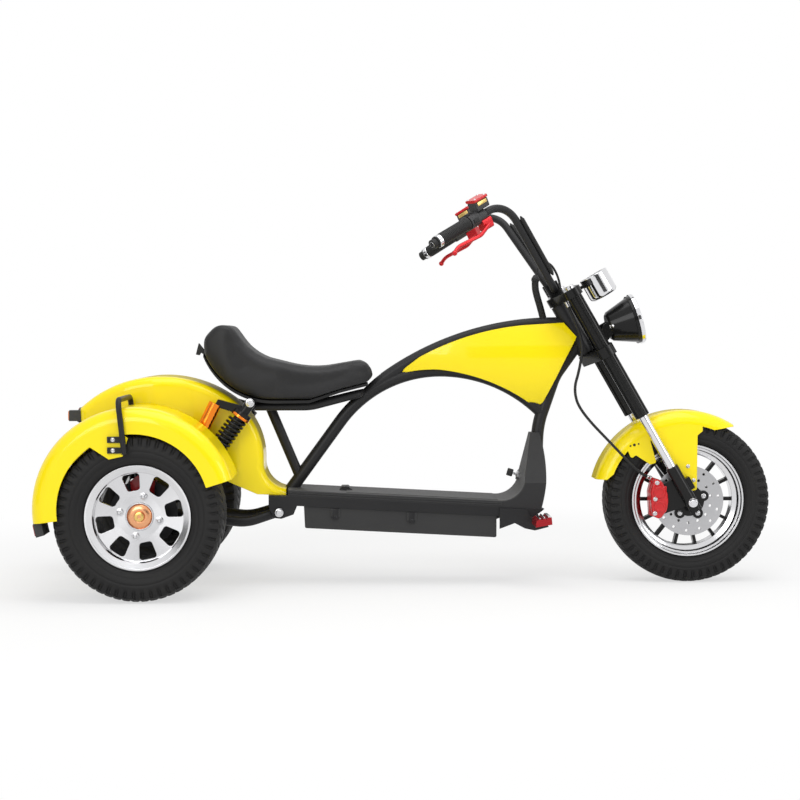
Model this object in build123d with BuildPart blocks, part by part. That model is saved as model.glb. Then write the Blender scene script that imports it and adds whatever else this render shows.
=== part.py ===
from build123d import *
import os
from math import asin, cos, degrees, radians, sin, sqrt, tan

os.makedirs("parts", exist_ok=True)

# Electric trike with one steered wheel in front and two wheels on a rear axle.
# Millimetres, +X forward, +Y to the rider's left, +Z up, ground at Z = 0.
# Side outlines are given as (distance ahead of the rear axle, height above ground).

# Stance
wheelbase = 1530.0
rear_track = 557.0
front_tyre_r = 236.0
rear_tyre_r = 226.0

# Clearances
seat_gap = 0.3
run_gap = 0.3
body_gap = 6.0

# Rear wheels
rear_tyre_w = 195.0
rear_rim_w = 159.0
rear_bead_r = 127.0
rear_lip_r = 140.5
rear_lip_w = 7.5
rear_barrel_t = 8.0
rear_face_out = 36.0
rear_face_t = 14.0
rear_hub_r = 46.0
rear_hub_in = 66.0
rear_cap_r = 34.0
rear_cap_h = 6.0
rear_nut_r = 12.0
rear_nut_h = 7.0
rear_window_count = 8
rear_window_in = 70.0
rear_window_out = 116.0
rear_window_in_w = 33.0
rear_window_out_w = 50.0
rear_window_fillet = 9.0
rear_disc_r = 92.0
rear_disc_t = 4.0
rear_disc_in = 44.0
rear_spindle_r = 14.0

# Front wheel
front_tyre_w = 120.0
front_rim_w = 88.0
front_bead_r = 152.0
front_lip_r = 161.0
front_lip_w = 7.0
front_barrel_t = 6.0
front_band_r = 133.0
front_band_w = 36.0
front_hub_r = 40.0
front_hub_w = 86.0
front_spoke_count = 14
front_spoke_w = 9.0
front_spoke_t = 22.0
front_disc_r = 100.0
front_disc_bore = 44.0
front_disc_seat = 8.0
front_carrier_t = 4.5
front_carrier_petals = 5
front_carrier_petal_r = 15.0
front_disc_t = 4.0
front_disc_y = 50.0
front_disc_holes = 14
front_disc_hole_r = 4.0
front_axle_r = 8.0
front_axle_end = 116.0
caliper_bracket_gap = 12.0
caliper_bracket_rear = ((1440.0, 280.0), (1426.0, 210.0), (1450.0, 200.0))
caliper_bracket_front = ((1520.0, 224.0), (1524.0, 250.0), (1480.0, 300.0))
caliper_low = ((1412.0, 262.0), (1416.0, 196.0), (1440.0, 186.0), (1462.0, 216.0))
caliper_high = ((1462.0, 262.0), (1446.0, 296.0), (1422.0, 304.0))
caliper_wall = 12.0
caliper_gap = 5.0
caliper_clear = 6.0

# Fork and steering head
rake = 30.0
fork_offset = 38.0
leg_y = 92.0
slider_r = 18.0
slider_top = 115.0
slider_drop = 28.0
fork_tube_r = 13.0
tube_foot = 58.0
spacer_r = 13.0
cover_r = 18.6
flute_count = 12
flute_w = 4.0
flute_h = 2.0
cover_bottom = 282.0
clamp_r = 27.0
lower_clamp_t = 478.0
lower_clamp_h = 30.0
head_gap = 3.0
head_tube_len = 158.0
head_tube_r = 25.0
stem_r = 20.5
upper_clamp_h = 24.0
tongue_w = 40.0
tongue_t = 8.0
tongue_up = 4.0
riser_y = 21.0
riser_w = 18.0
riser_edge_r = 4.0
riser_cap = 8.0

# Frame tubes
main_tube_r = 18.0
strut_r = 14.0
rail_tube_r = 11.0
crown_x = 820.0
crown_z = 608.0
crown_front_r = 415.0
lower_tube_end_x = 1113.4
crown_rear_r = 355.0
crown_rear_turn = 54.0
top_tube_z = 743.0
top_tube_flat_x = 1150.0
top_tube_r = 840.0
top_tube_turn = 36.0
top_tube_lead = 50.0
top_tube_end_x = 650.0
down_tube_top = (1216.0, 684.0)
down_tube_bend = (1150.0, 592.0)
down_tube_knee = (1102.0, 452.0)
down_tube_radii = (150.0, 260.0)
seat_strut_lean = 22.9
seat_strut_foot = (417.0, 302.0)
shock_top = (285.0, 522.0)
shock_bottom = (104.0, 276.0)
shock_tyre_gap = 14.0
shock_pin_r = 6.0
shock_pin_out = 6.0
shock_ear_t = 6.0
shock_plate_t = 4.0
shock_plate_root = ((90.0, 292.0), (0.0, 246.0), (-6.0, 206.0))
shock_plate_nose = ((96.0, 252.0), (118.0, 272.0), (108.0, 292.0))
shock_plate_r = 4.0
shock_head = 34.0
shock_foot = 62.0
shock_seat_t = 10.0
spring_start = 52.0
coil_count = 9
coil_t = 10.0
reservoir_top = (188.0, 520.0)
reservoir_end = (153.0, 450.0)
reservoir_r = 18.0
reservoir_arm_rear = ((200.0, 508.0), (186.0, 516.0), (196.0, 532.0))
reservoir_arm_front = ((258.0, 514.0), (266.0, 500.0), (256.0, 490.0))
reservoir_arm_half_w = 10.0
seat_rail_y = 60.0
seat_base_z = 518.0
seat_tube_bend_x = 450.0
seat_tube_nose = ((585.0, 30.0, 541.0), (600.0, 0.0, 545.0))
seat_tube_radii = (120.0, 25.0)
shock_eye_r = 13.0
damper_r = 15.0
spring_r = 27.0

# Deck
deck_pitch = 3.0
deck_rear_x = 386.0
deck_front_x = 1092.0
deck_datum = (434.0, 272.0)
deck_half_w = 100.0
footboard_t = 18.0
rail_h = 26.0
rail_w = 30.0
rail_rear_x = 332.0
rail_lead = 18.0
rail_nose = 58.0
cross_w = 30.0
cross_mid_x = 408.0
arm_plate_t = 6.0
arm_plate_len = 50.0
arm_plate_corners = ((40.0, -6.0), (6.0, -18.0), (-12.0, -16.0), (-26.0, 4.0))
deck_edge_r = 5.0
curl_z = 430.0
curl_half_w = 24.0
curl_taper = 140.0
catch_x = 530.0
catch_len = 40.0
catch_h = 10.0
catch_half_w = 26.0
battery_rear_x = 431.0
battery_front_x = 975.0
battery_h = 62.0
battery_half_w = 95.0
battery_edge_r = 5.0
battery_clip_xs = (520.0, 735.0)
battery_clip = (26.0, 8.0, 22.0)
battery_clip_drop = 14.0
key_at = (1058.0, 62.0, 300.0)
key_facing = (-0.96, 0.0, 0.28)
key_len = 30.0
key_w = 20.0
key_out = 10.0
bracket_t = 6.0
bracket_rear_x = 983.0
bracket_front_x = 1060.0
bracket_lap = 4.0
bracket_foot = ((983.0, 163.0), (1026.0, 179.0), (1054.0, 164.0), (1083.0, 158.0))
bracket_toe = ((1122.0, 168.0), (1112.0, 190.0), (1070.0, 196.0))
peg_len = 96.0
peg_base = ((1074.0, 178.0), (1120.0, 186.0), (1118.0, 206.0), (1108.0, 206.0))
peg_teeth = ((1104.0, 200.0), (1098.0, 204.0), (1092.0, 198.0), (1086.0, 202.0), (1076.0, 196.0))
pivot_at = (362.0, 211.0)
pivot_r = 8.0
arm_r = 14.0
arm_inset = 48.0
motor_r = 74.0
axle_tube_r = 30.0
arm_bends = ((270.0, 182.0), (180.0, 192.0), (20.0, 216.0))
arm_radii = (120.0, 300.0)
arm_splay = 20.0
cross_tube_r = 15.0
pivot_out = 8.0
rear_caliper_half_w = 34.0
rear_caliper_low = 52.0
rear_caliper_high = 104.0
rear_caliper_out = 16.0
rear_caliper_lap = 4.0
rear_plate_half_w = 24.0
rear_plate_h = 70.0
rear_plate_t = 10.0

# Body panels and seat
fender_r = 270.0
fender_t = 4.0
fender_centre = (-8.0, 250.0)
fender_wall_in = 200.0
fender_lip_in = 246.0
fender_front_angle = 17.0
fender_rear_angle = 188.0
fender_corner = 38.0
fender_lip_corner = 10.0
front_fender_r = 263.0
front_fender_t = 3.5
front_fender_half_w = 70.0
front_fender_centre = (1518.0, 232.0)
front_fender_wall_in = 222.0
front_fender_corner = 40.0
front_fender_start = 57.0
front_fender_end = 166.0
fender_tip = (1650.0, 447.0)
fender_tip_root = ((1548.0, 424.0), (1560.0, 432.0))
fender_heel = (1293.0, 297.0)
fender_heel_root = (1372.0, 366.0)
fender_plate_rear = ((1362.0, 356.0), (1374.0, 368.0), (1416.0, 341.0), (1434.0, 346.0), (1416.0, 408.0))
fender_plate_leg = ((1426.0, 436.0), (1528.0, 264.0), (1550.0, 268.0), (1551.0, 424.0), (1566.0, 436.0))
fender_plate_angles = (78.0, 93.0, 108.0, 123.0, 138.0)
fender_plate_lap = 2.5
fender_plate_r = 6.0
shell_fender_gap = 33.0
shell_shock_gap = 9.0
shell_front_half_w = 72.0
shell_edge_r = 26.0
shell_crest = (32.0, 594.0)
shell_tail = (-192.0, 505.0)
shell_brow = (232.0, 528.0)
shell_waist = (318.0, 350.0)
shell_toe = (380.0, 275.0)
shell_floor = 330.0
shell_floor_xs = (150.0, -150.0)
shell_rump = (-185.0, 380.0)
shell_heel_x = 300.0
shell_deck_lap = 0.5
shell_plan_r = 70.0
stay_r = 7.5
stay_top = (-44.0, 540.0)
stay_foot = (-28.0, 398.0)
stay_root_x = -20.0
stay_bend_r = 24.0
stay_clip = (46.0, 7.0, 16.0)
stay_clip_x = -50.0
stay_clip_zs = (408.0, 436.0)
fender_ear_rear = ((-60.0, 470.0), (-130.0, 440.0), (-122.0, 418.0))
fender_ear_front = ((-70.0, 384.0), (-34.0, 392.0), (-20.0, 440.0))
reflector_h = 22.0
reflector_w = 80.0
reflector_arc = 8.0
reflector_out = 40.0
seat_half_w = 132.0
seat_nose_half_w = 82.0
seat_overhang = 26.0
seat_edge_r = 22.0
seat_plan_r = 120.0
seat_tail_x = 120.0
seat_wide_xs = (220.0, 370.0)
seat_nose_xs = (570.0, 640.0)
seat_tail_taper = 22.0
seat_nose_flare = 10.0
seat_back = (150.0, 648.0)
seat_flat_xs = (346.0, 446.0)
seat_front = ((532.0, 546.0), (612.0, 566.0))
seat_nose = ((632.0, 594.0), (614.0, 640.0))
seat_saddle = ((450.0, 612.0), (290.0, 652.0))
seat_crest = ((225.0, 738.0), (188.0, 744.0), (146.0, 700.0))
seat_top_radii = (16.0, 26.0, 300.0, 150.0, 34.0, 40.0, 40.0)
seat_catch_hook = ((122.0, 654.0), (131.0, 652.0), (136.0, 660.0))
seat_catch_root = ((150.0, 650.0), (160.0, 644.0), (160.0, 652.0), (141.0, 672.0), (130.0, 686.0))
seat_catch_half_w = 14.0
pan_t = 8.0
tank_half_w = 58.0
tank_tail = (690.0, 594.0)
tank_top_arc = ((760.0, 647.0), (905.0, 708.0), (1060.0, 738.0))
tank_front = ((1172.0, 745.0), (1208.0, 704.0), (1168.0, 628.0), (1104.0, 494.0))
tank_belly_arc = ((1104.0, 494.0), (975.0, 570.0), (816.0, 611.0))
tank_tail_arc = ((816.0, 611.0), (750.0, 608.0), (690.0, 594.0))
tank_mid = (1040.0, 645.0)
tank_crown_r = 230.0
tank_sweep_r = 1358.0

# Handlebar
bar_r = 11.0
bar_bend_r = 85.0
bar_foot_bend_r = 20.0
grip_end = (794.0, 300.0, 958.0)
bar_knee = (990.0, 160.0, 1080.0)
bar_foot = (1143.0, 45.0, 840.0)
grip_r = 16.5
grip_len = 120.0
switch_r = 20.0
switch_len = 34.0
bar_end_r = 13.5
bar_end_len = 14.0
perch_len = 44.0
perch_t = 6.0
perch_clamp_len = 26.0
box_h = 26.0
box_w = 36.0
box_edge_r = 5.0
box_up = 32.0
lid_h = 8.0
lid_lap = 2.0
lid_edge_r = 3.0
pivot_block = (30.0, 26.0)
pivot_block_len = 34.0
pivot_block_r = 6.0
lever_r = 5.5
lever_turn = 40.0
lever_tip = (54.0, 16.0)
lever_radii = (30.0, 60.0)
hose_r = 4.0
hose_bend_r = 30.0
loom_r = 10.0
loom_bend_r = 60.0

# Lamps and gauge
tail_root = ((-206.0, 462.0), (-180.0, 462.0), (-180.0, 500.0), (-206.0, 500.0))
tail_face = ((-212.0, 494.0), (-212.0, 466.0))
tail_bar_at = (-204.0, 484.0)
tail_bar_half = 84.0
tail_bar_r = 6.0
tail_box = (36.0, 26.0, 30.0)
lamp_at = (1380.0, 755.0)
lamp_tilt = 16.5
lamp_r = 70.0
lamp_depth = 80.0
lamp_neck_r = 43.0
lamp_wall = 3.0
bezel_r = 73.0
bezel_h = 12.0
lens_bulge = 9.0
lamp_arm_y = 31.0
lamp_arm_t = 6.0
lamp_arm = ((-12.0, 0.0), (18.0, 0.0), (70.0, 22.0), (80.0, 50.0), (40.0, 50.0))
gauge_at = (1260.0, 881.0)
gauge_r = 42.0
gauge_h = 68.0
gauge_foot_r = 12.0
gauge_rim = 4.0
gauge_recess = 2.0

# Places worked out from the sizes above
rear_overhang = fender_r - fender_centre[0]
rear_axle_x = (rear_overhang - wheelbase - front_tyre_r) / 2
side = Plane(origin=(rear_axle_x, 0, 0), x_dir=(1, 0, 0), z_dir=(0, -1, 0))
back_dir = (-sin(radians(rake)), 0, cos(radians(rake)))
ahead_dir = (cos(radians(rake)), 0, sin(radians(rake)))
front_axle = (rear_axle_x + wheelbase, 0, front_tyre_r)
fork = Plane(origin=front_axle, x_dir=ahead_dir, z_dir=back_dir)
head_start = lower_clamp_t + lower_clamp_h + head_gap
upper_clamp_t = head_start + head_tube_len + head_gap
cover_top = upper_clamp_t
fork_top = upper_clamp_t + upper_clamp_h + 6.0
deck_slope = tan(radians(deck_pitch))
crown_front_turn = degrees(asin((lower_tube_end_x - crown_x) / crown_front_r))
half_track = rear_track / 2
fender_inner_y = half_track - rear_tyre_w / 2 - body_gap - fender_t
fender_outer_y = half_track + rear_tyre_w / 2 + body_gap + fender_t
shock_y = half_track - rear_tyre_w / 2 - spring_r - shock_tyre_gap
shock_ear_y = shock_y - damper_r - shock_plate_t - 1
arm_y = shock_y - arm_inset
motor_half_w = arm_y - arm_r - body_gap - 2
axle_tube_end = half_track - rear_hub_in - body_gap
shell_half_w = fender_inner_y - shell_fender_gap
shell_waist_half_w = shock_y - spring_r - shell_shock_gap


def place(x, y, z):
    """Point from its distance ahead of the rear axle, its Y and its height."""
    return (rear_axle_x + x, y, z)


def deck_z(x, drop=0.0):
    """Height of the deck's top, less a drop, at a distance ahead of the rear axle."""
    return deck_datum[1] - (x - deck_datum[0]) * deck_slope - drop


def arc_place(centre, radius, angle):
    """Point in the middle plane on a circle seen from the side."""
    turn = radians(angle)
    return place(centre[0] + radius * cos(turn), 0, centre[1] + radius * sin(turn))


def swept_tube(path, radius):
    """Round bar along a wire."""
    with BuildPart() as tube:
        with BuildSketch(Plane(origin=path @ 0, z_dir=path % 0)):
            Circle(radius)
        sweep(path=path)
    return tube.part


def straight_tube(start, end, radius):
    """Round bar between two points."""
    with BuildLine() as run:
        Line(start, end)
    return swept_tube(run.wire(), radius)


# Centre lines of the frame tubes
def lower_tube_path():
    """Runs from the down tube over a crown, then down behind to the deck."""
    front_centre = (crown_x, crown_z - crown_front_r)
    rear_centre = (crown_x, crown_z - crown_rear_r)
    rear_end = 90 + crown_rear_turn
    foot_top = arc_place(rear_centre, crown_rear_r, rear_end)
    drop = foot_top[2] - deck_z(deck_datum[0], footboard_t + rail_h)
    foot = (foot_top[0] - drop / tan(radians(crown_rear_turn)), 0, foot_top[2] - drop)
    with BuildLine() as run:
        ThreePointArc(
            arc_place(front_centre, crown_front_r, 90 - crown_front_turn),
            arc_place(front_centre, crown_front_r, 90 - crown_front_turn / 2),
            place(crown_x, 0, crown_z),
        )
        ThreePointArc(
            place(crown_x, 0, crown_z),
            arc_place(rear_centre, crown_rear_r, 90 + crown_rear_turn / 2),
            foot_top,
        )
        Line(foot_top, foot)
    return run.wire()


def top_tube_path():
    """Leaves the head tube level and bends down to the seat."""
    centre = (top_tube_flat_x, top_tube_z - top_tube_r)
    with BuildLine() as run:
        Line(place(top_tube_flat_x + top_tube_lead, 0, top_tube_z), place(top_tube_flat_x, 0, top_tube_z))
        ThreePointArc(
            place(top_tube_flat_x, 0, top_tube_z),
            arc_place(centre, top_tube_r, 90 + top_tube_turn / 2),
            arc_place(centre, top_tube_r, 90 + top_tube_turn),
        )
    return run.wire()


def down_tube_path():
    """Leaves the foot of the head tube and bends upright in front of the deck."""
    with BuildLine() as run:
        FilletPolyline(
            place(down_tube_top[0], 0, down_tube_top[1]),
            place(down_tube_bend[0], 0, down_tube_bend[1]),
            place(down_tube_knee[0], 0, down_tube_knee[1]),
            place(deck_front_x, 0, deck_z(deck_front_x, footboard_t + rail_h)),
            radius=down_tube_radii,
        )
    return run.wire()


lower_path = lower_tube_path()
top_path = top_tube_path()
down_path = down_tube_path()


# Head tube: plain tube on the steering axis, with the bore that the stem turns in
with BuildPart() as head_tube:
    with BuildSketch(fork.offset(head_start)):
        with Locations((-fork_offset, 0)):
            Circle(head_tube_r)
            Circle(stem_r + run_gap, mode=Mode.SUBTRACT)
    extrude(amount=head_tube_len)

# Solid of the head tube without its bore, to cope the tubes that meet it
with BuildPart() as head_cope:
    with BuildSketch(fork.offset(head_start - head_gap)):
        with Locations((-fork_offset, 0)):
            Circle(head_tube_r)
    extrude(amount=head_tube_len + 2 * head_gap)

# Everything below the tops of the deck rails, to trim the tubes that stand on them
with BuildPart() as below_deck:
    with BuildSketch(side):
        with BuildLine():
            Polyline(
                (deck_rear_x - 100, deck_z(deck_rear_x - 100, footboard_t)),
                (deck_front_x + 100, deck_z(deck_front_x + 100, footboard_t)),
                (deck_front_x + 100, 0),
                (deck_rear_x - 100, 0),
                close=True,
            )
        make_face()
    extrude(amount=deck_half_w, both=True)

with BuildPart() as down_tube:
    add(swept_tube(down_path, main_tube_r))
    add(head_cope.part, mode=Mode.SUBTRACT)
    add(below_deck.part, mode=Mode.SUBTRACT)

with BuildPart() as lower_tube:
    add(swept_tube(lower_path, main_tube_r))
    add(swept_tube(down_path, main_tube_r + seat_gap), mode=Mode.SUBTRACT)
    add(below_deck.part, mode=Mode.SUBTRACT)
    # It ends at the down tube
    with BuildSketch(side):
        with BuildLine():
            Polyline(
                down_tube_top,
                down_tube_bend,
                down_tube_knee,
                (down_tube_knee[0], 0),
                (wheelbase, 0),
                (wheelbase, down_tube_top[1]),
                close=True,
            )
        make_face()
    extrude(amount=2 * main_tube_r, both=True, mode=Mode.SUBTRACT)

with BuildPart() as top_tube:
    add(swept_tube(top_path, main_tube_r))
    add(head_cope.part, mode=Mode.SUBTRACT)
    add(swept_tube(lower_path, main_tube_r), mode=Mode.SUBTRACT)
    with BuildSketch(side):
        with Locations((top_tube_end_x, crown_z)):
            Rectangle(wheelbase, wheelbase, align=(Align.MAX, Align.CENTER))
    extrude(amount=deck_half_w, both=True, mode=Mode.SUBTRACT)

# Seat frame: strut that leans back from the foot of the lower tube, and two thin
# tubes under the seat joined by the bar that carries the shocks
strut_top = (
    seat_strut_foot[0] - (seat_base_z - rail_tube_r - seat_strut_foot[1]) * tan(radians(seat_strut_lean)),
    seat_base_z - rail_tube_r,
)
rail_z = seat_base_z - rail_tube_r
with BuildPart() as seat_frame:
    add(
        straight_tube(
            place(seat_strut_foot[0], 0, seat_strut_foot[1]),
            place(strut_top[0], 0, strut_top[1]),
            strut_r,
        )
    )
    add(
        straight_tube(
            place(shock_top[0], -shock_ear_y, rail_z),
            place(shock_top[0], shock_ear_y, rail_z),
            rail_tube_r,
        )
    )
    # Ears and pins that hold the tops of the shocks
    with BuildSketch(side.offset(shock_ear_y - shock_ear_t)):
        with Locations((shock_top[0], rail_z), shock_top):
            Circle(rail_tube_r)
        make_hull()
    extrude(amount=shock_ear_t)
    with BuildSketch(side.offset(shock_ear_y)):
        with Locations(shock_top):
            Circle(shock_pin_r)
    extrude(amount=shock_y + damper_r + shock_pin_out - shock_ear_y)
    mirror(about=Plane.XZ)
    for sign in (-1, 1):
        with BuildLine() as run:
            FilletPolyline(
                place(shock_top[0], sign * seat_rail_y, rail_z),
                place(seat_tube_bend_x, sign * seat_rail_y, rail_z),
                *[place(x, sign * y, z) for x, y, z in seat_tube_nose],
                radius=seat_tube_radii,
            )
        add(swept_tube(run.wire(), rail_tube_r))
    add(swept_tube(lower_path, main_tube_r), mode=Mode.SUBTRACT)

# Deck rails: two side rails, cross members under the tubes, plates for the swing arm
rail_front_x = deck_front_x + rail_lead
rail_chin = (rail_front_x - rail_nose, deck_z(rail_front_x - rail_nose, footboard_t + rail_h))
with BuildPart() as deck_rails:
    with BuildSketch(side.offset(deck_half_w - rail_w)):
        with BuildLine():
            Polyline(
                (rail_rear_x, deck_z(rail_rear_x, footboard_t)),
                (rail_front_x, deck_z(rail_front_x, footboard_t)),
                (rail_front_x, deck_z(rail_front_x, footboard_t + rail_h)),
                (rail_rear_x, deck_z(rail_rear_x, footboard_t + rail_h)),
                close=True,
            )
        make_face()
    extrude(amount=rail_w)
    with BuildSketch(side.offset(deck_half_w - arm_plate_t)):
        with BuildLine():
            Polyline(
                (rail_rear_x, deck_z(rail_rear_x, footboard_t + rail_h)),
                (pivot_at[0] + arm_plate_len, deck_z(pivot_at[0] + arm_plate_len, footboard_t + rail_h)),
                *[(pivot_at[0] + x, pivot_at[1] + z) for x, z in arm_plate_corners],
                close=True,
            )
        make_face()
        with Locations(pivot_at):
            Circle(pivot_r + run_gap, mode=Mode.SUBTRACT)
    extrude(amount=arm_plate_t)
    mirror(about=Plane.XZ)
    for x in (rail_rear_x + cross_w / 2, cross_mid_x, deck_front_x):
        with BuildSketch(side):
            with BuildLine():
                Polyline(
                    (x - cross_w / 2, deck_z(x - cross_w / 2, footboard_t)),
                    (x + cross_w / 2, deck_z(x + cross_w / 2, footboard_t)),
                    (x + cross_w / 2, deck_z(x + cross_w / 2, footboard_t + rail_h)),
                    (x - cross_w / 2, deck_z(x - cross_w / 2, footboard_t + rail_h)),
                    close=True,
                )
            make_face()
        extrude(amount=deck_half_w - rail_w / 2, both=True)
    # The front of the rails is rounded from below
    with BuildSketch(side):
        with BuildLine():
            TangentArc(rail_chin, (rail_front_x, deck_z(rail_front_x, footboard_t)), tangent=(1, -deck_slope))
            Polyline(
                (rail_front_x, deck_z(rail_front_x, footboard_t)),
                (rail_front_x + rail_lead, deck_z(rail_front_x, footboard_t)),
                (rail_front_x + rail_lead, 0),
                (rail_chin[0], 0),
                rail_chin,
            )
        make_face()
    extrude(amount=deck_half_w, both=True, mode=Mode.SUBTRACT)

# Footboard: flat moulding whose front curls up around the down tube
curl_foot = (deck_front_x - 107, deck_z(deck_front_x - 107))
curl_knee = (deck_front_x - 36, curl_z - 118)
curl_top = (deck_front_x - 14, curl_z)
curl_nose = (deck_front_x + 12, curl_z)
curl_belly = (deck_front_x + 24, curl_z - 130)
curl_toe = (deck_front_x + 10, deck_z(deck_front_x + 10, footboard_t))
with BuildPart() as footboard:
    with BuildSketch(side):
        with BuildLine():
            Line((deck_rear_x, deck_z(deck_rear_x)), curl_foot)
            TangentArc(curl_foot, curl_knee, tangent=(1, -deck_slope))
            Polyline(curl_knee, curl_top, curl_nose)
            ThreePointArc(curl_nose, curl_belly, curl_toe)
            Polyline(
                curl_toe,
                (deck_rear_x, deck_z(deck_rear_x, footboard_t)),
                (deck_rear_x, deck_z(deck_rear_x)),
            )
        make_face()
    extrude(amount=deck_half_w, both=True)
    rims = footboard.edges().filter_by(Axis.Z, reverse=True)
    rims = rims.filter_by(lambda e: abs(e.center().Y) > deck_half_w - deck_edge_r)
    rims = rims.filter_by(lambda e: e.center().Z < curl_z - curl_taper)
    rims = rims.filter_by(lambda e: e.center().Z > deck_z(e.center().X - rear_axle_x, footboard_t / 2))
    fillet(rims, deck_edge_r)
    # Moulded catch on the seam of the deck lid
    with BuildSketch(side):
        with BuildLine():
            Polyline(
                (catch_x, deck_z(catch_x)),
                (catch_x + catch_len * 0.2, deck_z(catch_x) + catch_h),
                (catch_x + catch_len * 0.65, deck_z(catch_x) + catch_h),
                (catch_x + catch_len, deck_z(catch_x + catch_len)),
                close=True,
            )
        make_face()
    extrude(amount=catch_half_w, both=True)
    # The curl narrows upwards to the width of the tube
    with BuildSketch(Plane(origin=place(deck_rear_x, 0, 0), x_dir=(0, 1, 0), z_dir=(1, 0, 0))):
        with BuildLine():
            Polyline(
                (curl_half_w, curl_z + 1),
                (deck_half_w + 1, curl_z - curl_taper),
                (deck_half_w + 1, curl_z + 1),
                close=True,
            )
        make_face()
        mirror(about=Plane.YZ)
    extrude(amount=deck_front_x, mode=Mode.SUBTRACT)
    add(swept_tube(down_path, main_tube_r + seat_gap), mode=Mode.SUBTRACT)
    add(swept_tube(lower_path, main_tube_r + seat_gap), mode=Mode.SUBTRACT)

# Battery case: closed box slung under the rails, with its two clips
battery_drop = footboard_t + rail_h
with BuildPart() as battery_case:
    with BuildSketch(side):
        with BuildLine():
            Polyline(
                (battery_rear_x, deck_z(battery_rear_x, battery_drop)),
                (battery_front_x, deck_z(battery_front_x, battery_drop)),
                (battery_front_x, deck_z(battery_front_x, battery_drop + battery_h)),
                (battery_rear_x + 3, deck_z(battery_rear_x + 3, battery_drop + battery_h)),
                close=True,
            )
        make_face()
    extrude(amount=battery_half_w, both=True)
    fillet(battery_case.edges().filter_by(Axis.Y).sort_by(Axis.Z)[:2], battery_edge_r)
    for x in battery_clip_xs:
        for sign in (-1, 1):
            with Locations(place(x, sign * battery_half_w, deck_z(x, battery_drop + battery_clip_drop))):
                Box(*battery_clip)

# Key switch: round barrel let into the face of the curl
with BuildPart() as key_switch:
    with BuildSketch(Plane(origin=place(*key_at), x_dir=(0, 1, 0), z_dir=key_facing)):
        SlotOverall(key_len, key_w, rotation=90)
    extrude(amount=key_out)
    add(footboard.part, mode=Mode.SUBTRACT)

# Foot brackets: pressed plates on the rails, swept down and forward to the pegs
with BuildPart() as foot_brackets:
    with BuildSketch(side.offset(deck_half_w)):
        with BuildLine():
            Polyline(
                (bracket_rear_x, deck_z(bracket_rear_x, footboard_t + bracket_lap)),
                *bracket_foot,
                *bracket_toe,
                (bracket_front_x, deck_z(bracket_front_x, footboard_t + bracket_lap)),
                close=True,
            )
        make_face()
    extrude(amount=bracket_t)
    mirror(about=Plane.XZ)

# Foot pegs: toothed blocks on the ends of the brackets
with BuildPart() as foot_pegs:
    with BuildSketch(side.offset(deck_half_w + bracket_t)):
        with BuildLine():
            Polyline(*peg_base, *peg_teeth, close=True)
        make_face()
    extrude(amount=peg_len)
    mirror(about=Plane.XZ)


# Tank cover between the tubes, each side one smooth crowned face
with BuildPart() as tank:
    with BuildSketch(side):
        with BuildLine():
            Line(tank_tail, tank_top_arc[0])
            ThreePointArc(*tank_top_arc)
            Polyline(tank_top_arc[-1], *tank_front)
            ThreePointArc(*tank_belly_arc)
            ThreePointArc(*tank_tail_arc)
        make_face()
    extrude(amount=tank_half_w, both=True)
    for sign in (-1, 1):
        with Locations(place(tank_mid[0], sign * (tank_sweep_r - tank_half_w), tank_mid[1])):
            Torus(tank_sweep_r - tank_crown_r, tank_crown_r, mode=Mode.INTERSECT)
    add(swept_tube(lower_path, main_tube_r + seat_gap), mode=Mode.SUBTRACT)
    add(swept_tube(top_path, main_tube_r + seat_gap), mode=Mode.SUBTRACT)
    add(swept_tube(down_path, main_tube_r + seat_gap), mode=Mode.SUBTRACT)
    add(head_cope.part, mode=Mode.SUBTRACT)


# Seat: the pan and the cushion share one underside, which sweeps up behind
plan = Plane(origin=(rear_axle_x, 0, 0))


def seat_underside(lift):
    """Underside of the pan, or of the cushion when lifted, from the back to the nose."""
    flat = seat_base_z + lift
    TangentArc((seat_flat_xs[0], flat), (seat_back[0], seat_back[1] + lift), tangent=(-1, 0))
    Polyline(
        *[(x, flat) for x in seat_flat_xs],
        *[(x, z + lift) for x, z in seat_front],
    )


def seat_plan(grow):
    """Plan outline of the seat, wide behind and narrow at the nose."""
    half = (
        (seat_tail_x, seat_half_w - seat_tail_taper + grow),
        *[(x, seat_half_w + grow) for x in seat_wide_xs],
        (seat_nose_xs[0], seat_nose_half_w + seat_nose_flare + grow),
        (seat_nose_xs[1], seat_nose_half_w + grow),
    )
    FilletPolyline(*half, radius=seat_plan_r)
    FilletPolyline(*[(x, -y) for x, y in half], radius=seat_plan_r)
    Line(half[0], (half[0][0], -half[0][1]))
    Line(half[-1], (half[-1][0], -half[-1][1]))


with BuildPart() as seat_pan:
    with BuildSketch(side):
        with BuildLine():
            seat_underside(0)
            seat_underside(pan_t)
            Line(seat_back, (seat_back[0], seat_back[1] + pan_t))
            Line(seat_front[-1], (seat_front[-1][0], seat_front[-1][1] + pan_t))
        make_face()
    extrude(amount=seat_half_w, both=True)
    with BuildSketch(plan):
        with BuildLine():
            seat_plan(-seat_overhang)
        make_face()
    extrude(amount=wheelbase, mode=Mode.INTERSECT)
    add(swept_tube(lower_path, main_tube_r + seat_gap), mode=Mode.SUBTRACT)
    add(swept_tube(top_path, main_tube_r + seat_gap), mode=Mode.SUBTRACT)
    add(seat_frame.part, mode=Mode.SUBTRACT)
    # Catch under the seat back
    with BuildSketch(side):
        with BuildLine():
            Polyline(*seat_catch_hook, *seat_catch_root, close=True)
        make_face()
    extrude(amount=seat_catch_half_w, both=True)

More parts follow.
